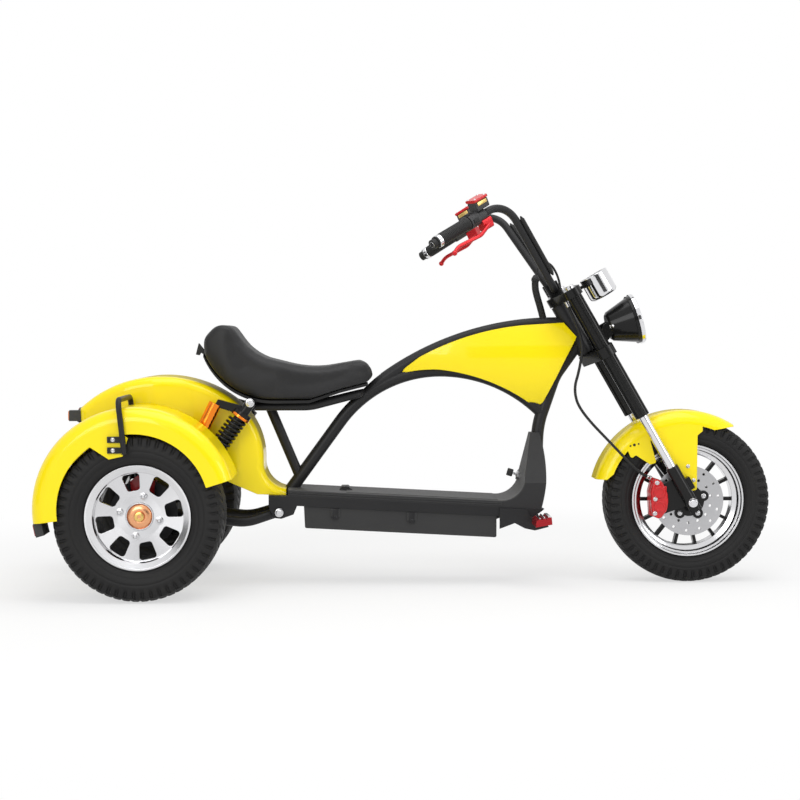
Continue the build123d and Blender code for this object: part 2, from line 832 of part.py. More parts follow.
# Seat cushion: deep foam seat with a raised back and rounded edges
with BuildPart() as seat_cushion:
    with BuildSketch(side):
        with BuildLine():
            seat_underside(pan_t)
            FilletPolyline(
                (seat_front[-1][0], seat_front[-1][1] + pan_t),
                *seat_nose,
                *seat_saddle,
                *seat_crest,
                (seat_back[0], seat_back[1] + pan_t),
                radius=seat_top_radii,
            )
        make_face()
    extrude(amount=seat_half_w, both=True)
    with BuildSketch(plan):
        with BuildLine():
            seat_plan(0)
        make_face()
    extrude(amount=wheelbase, mode=Mode.INTERSECT)
    rims = seat_cushion.edges().filter_by(lambda e: abs(e.center().Y) > seat_nose_half_w - seat_overhang)
    fillet(rims.filter_by(lambda e: e.center().Z > seat_base_z + 80), seat_edge_r)
    add(swept_tube(top_path, main_tube_r + seat_gap), mode=Mode.SUBTRACT)
    add(seat_pan.part, mode=Mode.SUBTRACT)

# Rear body: closed shell between the wheels, crowned on top, narrow where it meets the deck
with BuildPart() as rear_body:
    with BuildSketch(side):
        with BuildLine():
            TangentArc(shell_crest, shell_tail, tangent=(-1, 0))
            brow = TangentArc(shell_crest, shell_brow, tangent=(1, 0))
            waist = TangentArc(shell_brow, shell_waist, tangent=brow % 1)
            TangentArc(shell_waist, shell_toe, tangent=waist % 1)
            Polyline(
                shell_toe,
                (shell_toe[0], deck_z(shell_toe[0], footboard_t - shell_deck_lap)),
                (shell_heel_x, deck_z(shell_heel_x, footboard_t - shell_deck_lap)),
                *[(x, shell_floor) for x in shell_floor_xs],
                shell_rump,
                shell_tail,
            )
        make_face()
    extrude(amount=shell_half_w, both=True)
    half_plan = (
        (-200, shell_half_w - 24),
        (-60, shell_half_w),
        (24, shell_half_w),
        (116, shell_waist_half_w),
        (250, shell_waist_half_w - 4),
        (400, shell_front_half_w),
    )
    with BuildSketch(plan):
        with BuildLine():
            FilletPolyline(*half_plan, radius=shell_plan_r)
            FilletPolyline(*[(x, -y) for x, y in half_plan], radius=shell_plan_r)
            Line(half_plan[0], (half_plan[0][0], -half_plan[0][1]))
            Line(half_plan[-1], (half_plan[-1][0], -half_plan[-1][1]))
        make_face()
    extrude(amount=wheelbase, mode=Mode.INTERSECT)
    crests = rear_body.edges().filter_by(lambda e: e.center().Z > shell_floor + 60 and abs(e.center().Y) > 60)
    fillet(crests.filter_by(Axis.Z, reverse=True), shell_edge_r)
    add(straight_tube(place(shock_top[0], -deck_half_w * 2, shock_top[1]),
                      place(shock_top[0], deck_half_w * 2, shock_top[1]),
                      rail_tube_r + body_gap), mode=Mode.SUBTRACT)
    add(swept_tube(lower_path, main_tube_r + seat_gap), mode=Mode.SUBTRACT)


def wheel_section(centre, sign):
    """Plane of a wheel's section: outboard along X, radius along Y."""
    return Plane(origin=centre, x_dir=(0, sign, 0), z_dir=(sign, 0, 0))


def wheel_face(centre, sign):
    """Plane of a wheel's face, looking outboard."""
    return Plane(origin=centre, x_dir=(1, 0, 0), z_dir=(0, sign, 0))


def turned(profile, centre, sign):
    """Solid of revolution about a wheel's axle."""
    with BuildPart() as solid:
        with BuildSketch(wheel_section(centre, sign)):
            with BuildLine():
                profile()
            make_face()
        revolve(axis=Axis(centre, (0, sign, 0)))
    return solid.part


def tyre_profile(width, outer_r, bead_r, lip_r, rim_w, lip_w):
    """Section of a tyre that fills its rim between the lips."""
    w = width / 2
    b = rim_w / 2 - lip_w - seat_gap
    root = lip_r + 1.0
    wide = (outer_r + root) / 2
    shoulder = (w - 8, outer_r - 10)
    crown = (w * 0.62, outer_r - 1.5)
    Line((-b, bead_r), (b, bead_r))
    Line((b, bead_r), (b, root))
    TangentArc((w, wide), (b, root), tangent=(0, -1))
    TangentArc((w, wide), shoulder, tangent=(0, 1))
    ThreePointArc(shoulder, (w - 16, outer_r - 4.5), crown)
    ThreePointArc(crown, (0, outer_r), (-crown[0], crown[1]))
    ThreePointArc((-crown[0], crown[1]), (16 - w, outer_r - 4.5), (-shoulder[0], shoulder[1]))
    TangentArc((-w, wide), (-shoulder[0], shoulder[1]), tangent=(0, 1))
    TangentArc((-w, wide), (-b, root), tangent=(0, -1))
    Line((-b, root), (-b, bead_r))


def rear_rim_profile():
    """Section of the rear rim: barrel with two lips, and the dished face."""
    e = rear_rim_w / 2
    f = e - rear_lip_w
    inner = rear_bead_r - rear_barrel_t
    back = rear_face_out - rear_face_t
    Polyline(
        (-e, rear_lip_r),
        (-f, rear_lip_r),
        (-f, rear_bead_r),
        (f, rear_bead_r),
        (f, rear_lip_r),
        (e, rear_lip_r),
        (e, rear_lip_r - 5),
        (e - 9, inner + 2),
        (e - 22, inner),
        (rear_face_out + 6, inner),
        (rear_face_out, rear_window_in - 12),
        (rear_face_out, rear_spindle_r + 2),
        (back, rear_spindle_r + 2),
        (back, inner - 8),
        (back - 8, inner),
        (-e + 6, inner),
        (-e, rear_lip_r - 5),
        close=True,
    )


with BuildSketch() as rear_window:
    with BuildLine():
        Polyline(
            (rear_window_in, -rear_window_in_w / 2),
            (rear_window_out, -rear_window_out_w / 2),
            (rear_window_out, rear_window_out_w / 2),
            (rear_window_in, rear_window_in_w / 2),
            close=True,
        )
    make_face()
    fillet(rear_window.vertices(), rear_window_fillet)


def rear_rim(centre, sign):
    """Cast rear rim with a ring of rounded windows that widen outwards."""
    blank = turned(rear_rim_profile, centre, sign)
    with BuildPart() as rim:
        add(blank)
        with BuildSketch(wheel_face(centre, sign)):
            with PolarLocations(0, rear_window_count, start_angle=12):
                add(rear_window.sketch)
        extrude(amount=rear_rim_w, mode=Mode.SUBTRACT)
    return rim.part


def rear_hub(centre, sign):
    """Hub behind the rim face, with the brake disc."""
    face_back = rear_face_out - rear_face_t

    def profile():
        Polyline(
            (-rear_hub_in, rear_spindle_r + run_gap),
            (-rear_hub_in, rear_hub_r - 6),
            (-rear_disc_in - rear_disc_t, rear_hub_r - 6),
            (-rear_disc_in - rear_disc_t, rear_disc_r),
            (-rear_disc_in, rear_disc_r),
            (-rear_disc_in, rear_hub_r),
            (face_back - 10, rear_hub_r),
            (face_back - 10, rear_window_in - 4),
            (face_back, rear_window_in - 4),
            (face_back, rear_spindle_r + run_gap),
            close=True,
        )

    return turned(profile, centre, sign)


def hub_cap(centre, sign):
    """Domed cap on the wheel's face, with the axle nut."""
    f = rear_face_out

    def profile():
        Line((f, 0), (f, rear_cap_r))
        ThreePointArc((f, rear_cap_r), (f + rear_cap_h * 0.8, rear_cap_r * 0.8), (f + rear_cap_h, rear_nut_r))
        Line((f + rear_cap_h, rear_nut_r), (f + rear_cap_h + rear_nut_h, rear_nut_r))
        Line((f + rear_cap_h + rear_nut_h, rear_nut_r), (f + rear_cap_h + rear_nut_h, 0))
        Line((f + rear_cap_h + rear_nut_h, 0), (f, 0))

    return turned(profile, centre, sign)


def rear_tyre_section():
    """Section of the wide rear tyre."""
    tyre_profile(rear_tyre_w, rear_tyre_r, rear_bead_r + seat_gap, rear_lip_r, rear_rim_w, rear_lip_w)


def front_tyre_section():
    """Section of the front tyre."""
    tyre_profile(front_tyre_w, front_tyre_r, front_bead_r + seat_gap, front_lip_r, front_rim_w, front_lip_w)


def front_rim_section():
    """Section of the front rim: a barrel with double lips and a band for the spokes."""
    e = front_rim_w / 2
    f = e - front_lip_w
    inner = front_bead_r - front_barrel_t
    Polyline(
        (-e, front_lip_r),
        (-f, front_lip_r),
        (-f, front_bead_r),
        (f, front_bead_r),
        (f, front_lip_r),
        (e, front_lip_r),
        (e, front_lip_r - 5),
        (e - 5, front_lip_r - 8),
        (e - 5, inner + 2),
        (e - 16, inner),
        (front_band_w / 2 + 6, inner),
        (front_band_w / 2, front_band_r),
        (-front_band_w / 2, front_band_r),
        (-front_band_w / 2 - 6, inner),
        (16 - e, inner),
        (5 - e, inner + 2),
        (5 - e, front_lip_r - 8),
        (-e, front_lip_r - 5),
        close=True,
    )


front_tyre = turned(front_tyre_section, front_axle, -1)
front_rim = turned(front_rim_section, front_axle, -1)

# Hub of the front wheel: spokes to the rim's band, and the petalled carrier outside the disc
carrier_y = front_disc_y + front_disc_t + seat_gap
with BuildPart() as front_hub:
    with BuildSketch(wheel_face(front_axle, -1)):
        Circle(front_hub_r)
    extrude(amount=front_hub_w / 2, both=True)
    with BuildSketch(wheel_face(front_axle, -1)):
        with PolarLocations(0, front_spoke_count):
            with Locations((front_hub_r / 2, 0)):
                Rectangle(
                    front_band_r - seat_gap - front_hub_r / 2,
                    front_spoke_w,
                    align=(Align.MIN, Align.CENTER),
                )
    extrude(amount=front_spoke_t / 2, both=True)
    with BuildSketch(wheel_face(front_axle, -1).offset(front_hub_w / 2)):
        Circle(front_disc_bore + front_disc_seat)
    extrude(amount=front_disc_y - seat_gap - front_hub_w / 2)
    with BuildSketch(wheel_face(front_axle, -1).offset(front_hub_w / 2)):
        Circle(front_disc_bore - seat_gap)
    extrude(amount=carrier_y - front_hub_w / 2)
    with BuildSketch(wheel_face(front_axle, -1).offset(carrier_y)):
        Circle(front_disc_bore - seat_gap)
        with PolarLocations(front_disc_bore, front_carrier_petals, start_angle=18):
            Circle(front_carrier_petal_r)
    extrude(amount=front_carrier_t)
    with BuildSketch(wheel_face(front_axle, -1)):
        Circle(front_axle_r + run_gap)
    extrude(amount=front_hub_w, both=True, mode=Mode.SUBTRACT)

# Drilled brake disc on the right side of the front hub
with BuildPart() as front_disc:
    with BuildSketch(wheel_face(front_axle, -1).offset(front_disc_y)):
        Circle(front_disc_r)
        Circle(front_disc_bore, mode=Mode.SUBTRACT)
        for share in (0.35, 0.75):
            radius = front_disc_bore + share * (front_disc_r - front_disc_bore)
            with PolarLocations(radius, front_disc_holes, start_angle=radius):
                Circle(front_disc_hole_r, mode=Mode.SUBTRACT)
    extrude(amount=front_disc_t)

# Front axle: spindle with end caps and the spacers beside the hub
with BuildPart() as front_spindle:
    with BuildSketch(wheel_face(front_axle, -1)):
        Circle(front_axle_r)
    extrude(amount=front_axle_end, both=True)
    for start, end, radius in (
        (carrier_y + front_carrier_t + 2.0, leg_y - slider_r, spacer_r),
        (leg_y + slider_r, front_axle_end, spacer_r),
    ):
        for sign in (-1, 1):
            with BuildSketch(wheel_face(front_axle, sign).offset(start)):
                Circle(radius)
            extrude(amount=end - start)

# Fork sliders: lower legs with the lugs for the fender, and the caliper's bracket on the right
with BuildPart() as fork_sliders:
    for sign in (-1, 1):
        with BuildSketch(fork.offset(-slider_drop)):
            with Locations((0, sign * leg_y)):
                Circle(slider_r)
        extrude(amount=slider_top + slider_drop)
        with BuildSketch(fork.offset(30)):
            with Locations((slider_r + 4, sign * (leg_y + front_fender_half_w) / 2)):
                Rectangle(16, leg_y - front_fender_half_w)
        extrude(amount=36)
    bracket_y = front_disc_y + front_disc_t + caliper_bracket_gap
    with BuildSketch(side.offset(bracket_y)):
        with BuildLine():
            Polyline(*caliper_bracket_rear, *caliper_bracket_front, close=True)
        make_face()
    extrude(amount=leg_y - slider_r / 2 - bracket_y)
    for sign in (-1, 1):
        with BuildSketch(fork.offset(tube_foot)):
            with Locations((0, sign * leg_y)):
                Circle(fork_tube_r + seat_gap)
        extrude(amount=slider_top, mode=Mode.SUBTRACT)
    with BuildSketch(wheel_face(front_axle, -1)):
        Circle(front_axle_r + seat_gap)
    extrude(amount=front_axle_end + 20, both=True, mode=Mode.SUBTRACT)
    with BuildSketch(wheel_face(front_axle, -1)):
        Circle(spacer_r + seat_gap)
    extrude(amount=leg_y - slider_r, both=True, mode=Mode.SUBTRACT)

with BuildPart() as fork_tubes:
    for sign in (-1, 1):
        with BuildSketch(fork.offset(tube_foot)):
            with Locations((0, sign * leg_y)):
                Circle(fork_tube_r)
        extrude(amount=fork_top - tube_foot)

# Fork covers: fluted sleeves between the clamps and over the upper tubes
with BuildPart() as fork_covers:
    for sign in (-1, 1):
        with BuildSketch(fork.offset(cover_bottom)):
            with Locations((0, sign * leg_y)):
                Circle(cover_r)
                with PolarLocations(cover_r, flute_count):
                    Rectangle(2 * flute_h, flute_w)
                Circle(fork_tube_r + seat_gap, mode=Mode.SUBTRACT)
        extrude(amount=cover_top - cover_bottom)

# Steering stem with the lower clamp that grips the covers
cover_bore = cover_r + flute_h + seat_gap
with BuildPart() as steering_stem:
    with BuildSketch(fork.offset(lower_clamp_t)):
        with Locations((0, leg_y), (0, -leg_y), (-fork_offset, 0)):
            Circle(clamp_r)
        make_hull()
        with Locations((0, leg_y), (0, -leg_y)):
            Circle(cover_bore, mode=Mode.SUBTRACT)
    extrude(amount=lower_clamp_h)
    with BuildSketch(fork.offset(lower_clamp_t)):
        with Locations((-fork_offset, 0)):
            Circle(stem_r)
    extrude(amount=upper_clamp_t - lower_clamp_t)

# Upper clamp with the two blocks that hold the handlebar
bar_foot_p = (bar_foot[0] - wheelbase) * ahead_dir[0] + (bar_foot[2] - front_tyre_r) * ahead_dir[2]
bar_foot_t = (bar_foot[0] - wheelbase) * back_dir[0] + (bar_foot[2] - front_tyre_r) * back_dir[2]
gauge_p = (gauge_at[0] - wheelbase) * ahead_dir[0] + (gauge_at[1] - front_tyre_r) * ahead_dir[2]
with BuildPart() as upper_clamp:
    with BuildSketch(fork.offset(upper_clamp_t)):
        with Locations((0, leg_y), (0, -leg_y), (-fork_offset, 0)):
            Circle(clamp_r)
        make_hull()
        with Locations((0, leg_y), (0, -leg_y)):
            Circle(fork_tube_r + seat_gap, mode=Mode.SUBTRACT)
    extrude(amount=upper_clamp_h)
    # Tongue that carries the gauge
    with BuildSketch(fork.offset(upper_clamp_t + tongue_up)):
        Rectangle(gauge_p, tongue_w, align=(Align.MIN, Align.CENTER))
        with Locations((gauge_p, 0)):
            Circle(gauge_r + seat_gap, mode=Mode.SUBTRACT)
    extrude(amount=tongue_t)
    with BuildSketch(fork.offset(upper_clamp_t + upper_clamp_h)):
        with Locations((bar_foot_p, riser_y), (bar_foot_p, -riser_y)):
            RectangleRounded(2 * bar_r + riser_w, riser_w, riser_edge_r)
    extrude(amount=bar_foot_t + bar_r + riser_cap - upper_clamp_t - upper_clamp_h)
    bar_seat = straight_tube(
        place(bar_foot[0], -riser_y - riser_w, bar_foot[2]),
        place(bar_foot[0], riser_y + riser_w, bar_foot[2]),
        bar_r + seat_gap,
    )
    add(bar_seat, mode=Mode.SUBTRACT)


def bar_point(spot, sign):
    """A place on the handlebar, on one side."""
    return place(spot[0], sign * spot[1], spot[2])


with BuildPart() as handlebar:
    with BuildLine() as run:
        FilletPolyline(
            bar_point(grip_end, -1),
            bar_point(bar_knee, -1),
            bar_point(bar_foot, -1),
            bar_point(bar_foot, 1),
            bar_point(bar_knee, 1),
            bar_point(grip_end, 1),
            radius=(bar_bend_r, bar_foot_bend_r, bar_foot_bend_r, bar_bend_r),
        )
    add(swept_tube(run.wire(), bar_r))


def grip_plane(sign, along):
    """Plane across the handlebar's grip, at a distance in from its end."""
    end = Vector(bar_point(grip_end, sign))
    inward = (Vector(bar_point(bar_knee, sign)) - end).normalized()
    down = Vector(0, 0, -1)
    lean = (down - inward * down.dot(inward)).normalized()
    return Plane(origin=end + inward * along, x_dir=lean, z_dir=inward)


with BuildPart() as grips:
    for sign in (-1, 1):
        with BuildSketch(grip_plane(sign, -4)):
            Circle(grip_r)
        extrude(amount=grip_len + 4)
        with BuildSketch(grip_plane(sign, -4 - bar_end_len)):
            Circle(bar_end_r)
        extrude(amount=bar_end_len)
    add(handlebar.part, mode=Mode.SUBTRACT)

with BuildPart() as switch_housings:
    for sign in (-1, 1):
        with BuildSketch(grip_plane(sign, grip_len + 1)):
            Circle(switch_r)
        extrude(amount=switch_len)
    add(handlebar.part, mode=Mode.SUBTRACT)

# Lever perches: clamps on the bar with the fluid boxes, whose lids are a piece each
perch_start = grip_len + switch_len + 2
box_top = bar_r + box_up
with BuildPart() as master_cylinders:
    for sign in (-1, 1):
        with BuildSketch(grip_plane(sign, perch_start)):
            Circle(bar_r + perch_t)
        extrude(amount=perch_clamp_len)
        with BuildSketch(grip_plane(sign, perch_start)):
            with Locations((box_h / 2 - box_top, 0)):
                RectangleRounded(box_h, box_w, box_edge_r)
        extrude(amount=perch_len)
    add(handlebar.part, mode=Mode.SUBTRACT)

with BuildPart() as reservoir_lids:
    for sign in (-1, 1):
        with BuildSketch(grip_plane(sign, perch_start - lid_lap)):
            with Locations((-box_top - lid_h / 2, 0)):
                RectangleRounded(lid_h, box_w + 2 * lid_lap, lid_edge_r)
        extrude(amount=perch_len + 2 * lid_lap)

# Levers with the pivot blocks under the perches
with BuildPart() as brake_levers:
    for sign in (-1, 1):
        near = grip_plane(sign, 0)
        across = sign * sin(radians(lever_turn))
        below = cos(radians(lever_turn))
        with BuildSketch(grip_plane(sign, perch_start)):
            with Locations((bar_r + 14, sign * 6)):
                RectangleRounded(*pivot_block, pivot_block_r)
        extrude(amount=pivot_block_len)
        with BuildLine() as run:
            FilletPolyline(
                near.from_local_coords((36 * below, 36 * across, perch_start + 12)),
                near.from_local_coords((50 * below, 50 * across, grip_len + 4)),
                near.from_local_coords((44 * below, 44 * across, 40)),
                near.from_local_coords((lever_tip[0] * below, lever_tip[0] * across, lever_tip[1])),
                radius=lever_radii,
            )
        add(swept_tube(run.wire(), lever_r))
        with Locations(near.from_local_coords((lever_tip[0] * below, lever_tip[0] * across, lever_tip[1]))):
            Sphere(lever_r + 2)
    add(master_cylinders.part, mode=Mode.SUBTRACT)
    add(switch_housings.part, mode=Mode.SUBTRACT)
    add(handlebar.part, mode=Mode.SUBTRACT)

# Headlamp: hollow cone bucket, bezel ring and domed lens
lamp_axis = Vector(cos(radians(lamp_tilt)), 0, sin(radians(lamp_tilt)))
lamp_plane = Plane(origin=place(lamp_at[0], 0, lamp_at[1]), x_dir=lamp_axis, z_dir=(0, -1, 0))
lamp_turn = Axis(place(lamp_at[0], 0, lamp_at[1]), lamp_axis)
with BuildPart() as headlamp_shell:
    with BuildSketch(lamp_plane):
        with BuildLine():
            Polyline(
                (0, lamp_r - lamp_wall),
                (0, lamp_r),
                (-9, lamp_r),
                (-9, lamp_r - 4),
                (-lamp_depth + 6, lamp_neck_r),
                (-lamp_depth, lamp_neck_r - 7),
                (-lamp_depth, 0),
                (-lamp_depth + lamp_wall, 0),
                (-lamp_depth + lamp_wall, lamp_neck_r - 8),
                (-10, lamp_r - 4 - lamp_wall),
                close=True,
            )
        make_face()
    revolve(axis=lamp_turn)
with BuildPart() as headlamp_bezel:
    with BuildSketch(lamp_plane):
        with BuildLine():
            Polyline((0, lamp_r - 8), (0, bezel_r), (bezel_h - 3, bezel_r), (bezel_h, bezel_r - 4),
                     (bezel_h, lamp_r - 8), close=True)
        make_face()
    revolve(axis=lamp_turn)
with BuildPart() as headlamp_lens:
    with BuildSketch(lamp_plane):
        with BuildLine():
            Line((0, 0), (0, lamp_r - 8 - seat_gap))
            Line((0, lamp_r - 8 - seat_gap), (bezel_h - 2, lamp_r - 8 - seat_gap))
            TangentArc((bezel_h - 2 + lens_bulge, 0), (bezel_h - 2, lamp_r - 8 - seat_gap), tangent=(0, 1))
            Line((bezel_h - 2 + lens_bulge, 0), (0, 0))
        make_face()
    revolve(axis=lamp_turn)

# Lamp bracket: two arms from the lower clamp to the back of the bucket
leg_side = Plane(origin=front_axle, x_dir=ahead_dir, z_dir=(0, -1, 0))
clamp_top = lower_clamp_t + lower_clamp_h
with BuildPart() as lamp_bracket:
    with BuildSketch(leg_side.offset(lamp_arm_y)):
        with BuildLine():
            Polyline(*[(p, clamp_top + t) for p, t in lamp_arm], close=True)
        make_face()
    extrude(amount=lamp_arm_t)
    mirror(about=Plane.XZ)
    add(headlamp_shell.part, mode=Mode.SUBTRACT)

# Gauge: chromed pod with its dial facing the rider
gauge_plane = Plane(origin=place(gauge_at[0], 0, gauge_at[1]), x_dir=ahead_dir, z_dir=back_dir)
with BuildPart() as gauge:
    with BuildSketch(gauge_plane.offset(-gauge_h)):
        Circle(gauge_r)
    extrude(amount=gauge_h)
    fillet(gauge.faces().sort_by(Axis.Z)[0].edges(), gauge_foot_r)
    with BuildSketch(gauge_plane.offset(-gauge_recess)):
        Circle(gauge_r - gauge_rim)
    extrude(amount=gauge_recess, mode=Mode.SUBTRACT)

# Front fender: crown over the tyre and side plates bolted to the sliders
front_fender_at = place(front_fender_centre[0], 0, front_fender_centre[1])


def fender_section(centre, angle):
    """Plane through a fender's axis at an angle above the level, radius along X."""
    turn = radians(angle)
    return Plane(origin=centre, x_dir=(cos(turn), 0, sin(turn)), z_dir=(sin(turn), 0, -cos(turn)))


with BuildPart() as front_fender:
    with BuildSketch(fender_section(front_fender_at, front_fender_start)):
        with BuildLine():
            FilletPolyline(
                (front_fender_wall_in, -front_fender_half_w),
                (front_fender_r, -front_fender_half_w),
                (front_fender_r, front_fender_half_w),
                (front_fender_wall_in, front_fender_half_w),
                radius=front_fender_corner,
            )
            FilletPolyline(
                (front_fender_wall_in, front_fender_half_w - front_fender_t),
                (front_fender_r - front_fender_t, front_fender_half_w - front_fender_t),
                (front_fender_r - front_fender_t, front_fender_t - front_fender_half_w),
                (front_fender_wall_in, front_fender_t - front_fender_half_w),
                radius=front_fender_corner - front_fender_t,
            )
            Line((front_fender_wall_in, front_fender_half_w),
                 (front_fender_wall_in, front_fender_half_w - front_fender_t))
            Line((front_fender_wall_in, -front_fender_half_w),
                 (front_fender_wall_in, front_fender_t - front_fender_half_w))
        make_face()
    revolve(axis=Axis(front_fender_at, (0, -1, 0)), revolution_arc=front_fender_end - front_fender_start)
    # Both ends of the side walls run out to a point
    with BuildSketch(side):
        with BuildLine():
            Polyline(
                *fender_tip_root,
                fender_tip,
                (wheelbase + front_fender_r, fender_tip[1]),
                (wheelbase + front_fender_r, front_tyre_r),
                (fender_tip_root[0][0], front_tyre_r),
                close=True,
            )
        make_face()
        with BuildLine():
            Polyline(
                fender_heel_root,
                fender_heel,
                (wheelbase - front_fender_r * 1.2, fender_heel[1]),
                (wheelbase - front_fender_r * 1.2, front_tyre_r),
                (fender_heel_root[0], front_tyre_r),
                close=True,
            )
        make_face()
    extrude(amount=front_fender_half_w, both=True, mode=Mode.SUBTRACT)
    # Side plates from the foot of the crown's corners down to the sliders' lugs
    plate_r = front_fender_r - front_fender_corner + fender_plate_lap
    fender_plate_top = [
        (
            front_fender_centre[0] + plate_r * cos(radians(angle)),
            front_fender_centre[1] + plate_r * sin(radians(angle)),
        )
        for angle in fender_plate_angles
    ]
    with BuildSketch(side.offset(front_fender_half_w - front_fender_t)):
        with BuildLine():
            FilletPolyline(
                *fender_plate_rear,
                *fender_plate_leg,
                *fender_plate_top,
                radius=fender_plate_r,
                close=True,
            )
        make_face()
    extrude(amount=front_fender_t)
    mirror(about=Plane.XZ)

# Front brake caliper on its bracket behind the right slider
with BuildPart() as front_caliper:
    with BuildSketch(side.offset(front_disc_y - caliper_wall)):
        with BuildLine():
            Polyline(*caliper_low, *caliper_high, close=True)
        make_face()
    extrude(amount=front_disc_t + 2 * caliper_wall)
    with BuildSketch(wheel_face(front_axle, -1).offset(front_disc_y - caliper_gap)):
        Circle(front_disc_r + caliper_clear)
    extrude(amount=front_disc_t + 2 * caliper_gap, mode=Mode.SUBTRACT)

# Rear axle: motor housing in the middle, a tube and spindle to each wheel
rear_centre = place(0, 0, rear_tyre_r)
with BuildPart() as rear_motor:
    with BuildSketch(wheel_face(rear_centre, 1)):
        Circle(motor_r)
    extrude(amount=motor_half_w, both=True)
    chamfer(rear_motor.edges().filter_by(GeomType.CIRCLE), 8)
with BuildPart() as rear_axle:
    for sign in (-1, 1):
        with BuildSketch(wheel_face(rear_centre, sign).offset(motor_half_w)):
            Circle(axle_tube_r)
        extrude(amount=axle_tube_end - motor_half_w)
        with BuildSketch(wheel_face(rear_centre, sign).offset(axle_tube_end)):
            Circle(rear_spindle_r)
        extrude(amount=half_track + rear_face_out - rear_face_t - 2 - axle_tube_end)
    for y in (shock_ear_y, shock_y + damper_r + 1):
        with BuildSketch(side.offset(y)):
            with BuildLine():
                FilletPolyline(*shock_plate_root, *shock_plate_nose, radius=shock_plate_r, close=True)
            make_face()
            with Locations(shock_bottom):
                Circle(shock_pin_r + seat_gap, mode=Mode.SUBTRACT)
        extrude(amount=shock_plate_t)
    with BuildSketch(side.offset(shock_y - damper_r - shock_pin_out)):
        with Locations(shock_bottom):
            Circle(shock_pin_r)
    extrude(amount=2 * (damper_r + shock_pin_out))
    mirror(about=Plane.XZ)

# Swing arm: a cross tube in the frame plates and two arms that carry the axle
with BuildPart() as swing_arm:
    for half_w, radius in (
        (deck_half_w - arm_plate_t - seat_gap, cross_tube_r),
        (deck_half_w + pivot_out, pivot_r),
    ):
        add(
            straight_tube(
                place(pivot_at[0], -half_w, pivot_at[1]),
                place(pivot_at[0], half_w, pivot_at[1]),
                radius,
            )
        )
    for sign in (-1, 1):
        with BuildLine() as run:
            FilletPolyline(
                place(pivot_at[0], sign * (arm_y - arm_splay), pivot_at[1]),
                *[place(x, sign * arm_y, z) for x, z in arm_bends],
                radius=arm_radii,
            )
        add(swept_tube(run.wire(), arm_r))
    for sign in (-1, 1):
        axle_tube = straight_tube(
            place(0, sign * axle_tube_end, rear_tyre_r),
            place(0, sign * motor_half_w, rear_tyre_r),
            axle_tube_r,
        )
        add(axle_tube, mode=Mode.SUBTRACT)

# Shocks: damper with eyes, coil spring and a piggyback reservoir on each side
shock_dx = shock_bottom[0] - shock_top[0]
shock_dz = shock_bottom[1] - shock_top[1]
shock_len = sqrt(shock_dx ** 2 + shock_dz ** 2)
shock_dir = Vector(shock_dx / shock_len, 0, shock_dz / shock_len)
shock_plane = Plane(
    origin=place(shock_top[0], -shock_y, shock_top[1]), x_dir=(0, 1, 0), z_dir=shock_dir
)
spring_end = shock_len - shock_foot
with BuildPart() as shock_dampers:
    with BuildSketch(shock_plane):
        Circle(damper_r)
    extrude(amount=shock_len)
    with BuildSketch(shock_plane.offset(shock_head)):
        Circle(spring_r)
    extrude(amount=spring_start - shock_head)
    with BuildSketch(shock_plane.offset(spring_end)):
        Circle(spring_r)
    extrude(amount=shock_seat_t)
    for spot in (shock_top, shock_bottom):
        with BuildSketch(side.offset(shock_y - damper_r)):
            with Locations(spot):
                Circle(shock_eye_r)
        extrude(amount=2 * damper_r)
    with BuildSketch(side):
        with Locations(shock_top, shock_bottom):
            Circle(shock_pin_r + seat_gap)
    extrude(amount=half_track, mode=Mode.SUBTRACT)
    # Arm of the head casting that carries the reservoir
    with BuildSketch(side.offset(shock_y - reservoir_arm_half_w)):
        with BuildLine():
            Polyline(*reservoir_arm_rear, *reservoir_arm_front, close=True)
        make_face()
    extrude(amount=2 * reservoir_arm_half_w)
    add(straight_tube(place(reservoir_top[0], -shock_y, reservoir_top[1]),
                      place(reservoir_end[0], -shock_y, reservoir_end[1]), reservoir_r + seat_gap),
        mode=Mode.SUBTRACT)
    mirror(about=Plane.XZ)

coil_pitch = (spring_end - spring_start) / coil_count
with BuildPart() as shock_springs:
    with BuildSketch(Plane(origin=shock_plane.origin, x_dir=(0, -1, 0), z_dir=shock_plane.y_dir)):
        for turn in range(coil_count):
            with Locations((spring_r - coil_t / 2, spring_start + (turn + 0.5) * coil_pitch)):
                Rectangle(coil_t, coil_pitch * 0.62)
        with Locations((damper_r + seat_gap, spring_start)):
            Rectangle(coil_t * 0.4, spring_end - spring_start, align=(Align.MIN, Align.MIN))
    revolve(axis=Axis(shock_plane.origin, shock_dir))
    mirror(about=Plane.XZ)

with BuildPart() as shock_reservoirs:
    add(straight_tube(place(reservoir_top[0], -shock_y, reservoir_top[1]),
                      place(reservoir_end[0], -shock_y, reservoir_end[1]), reservoir_r))
    mirror(about=Plane.XZ)

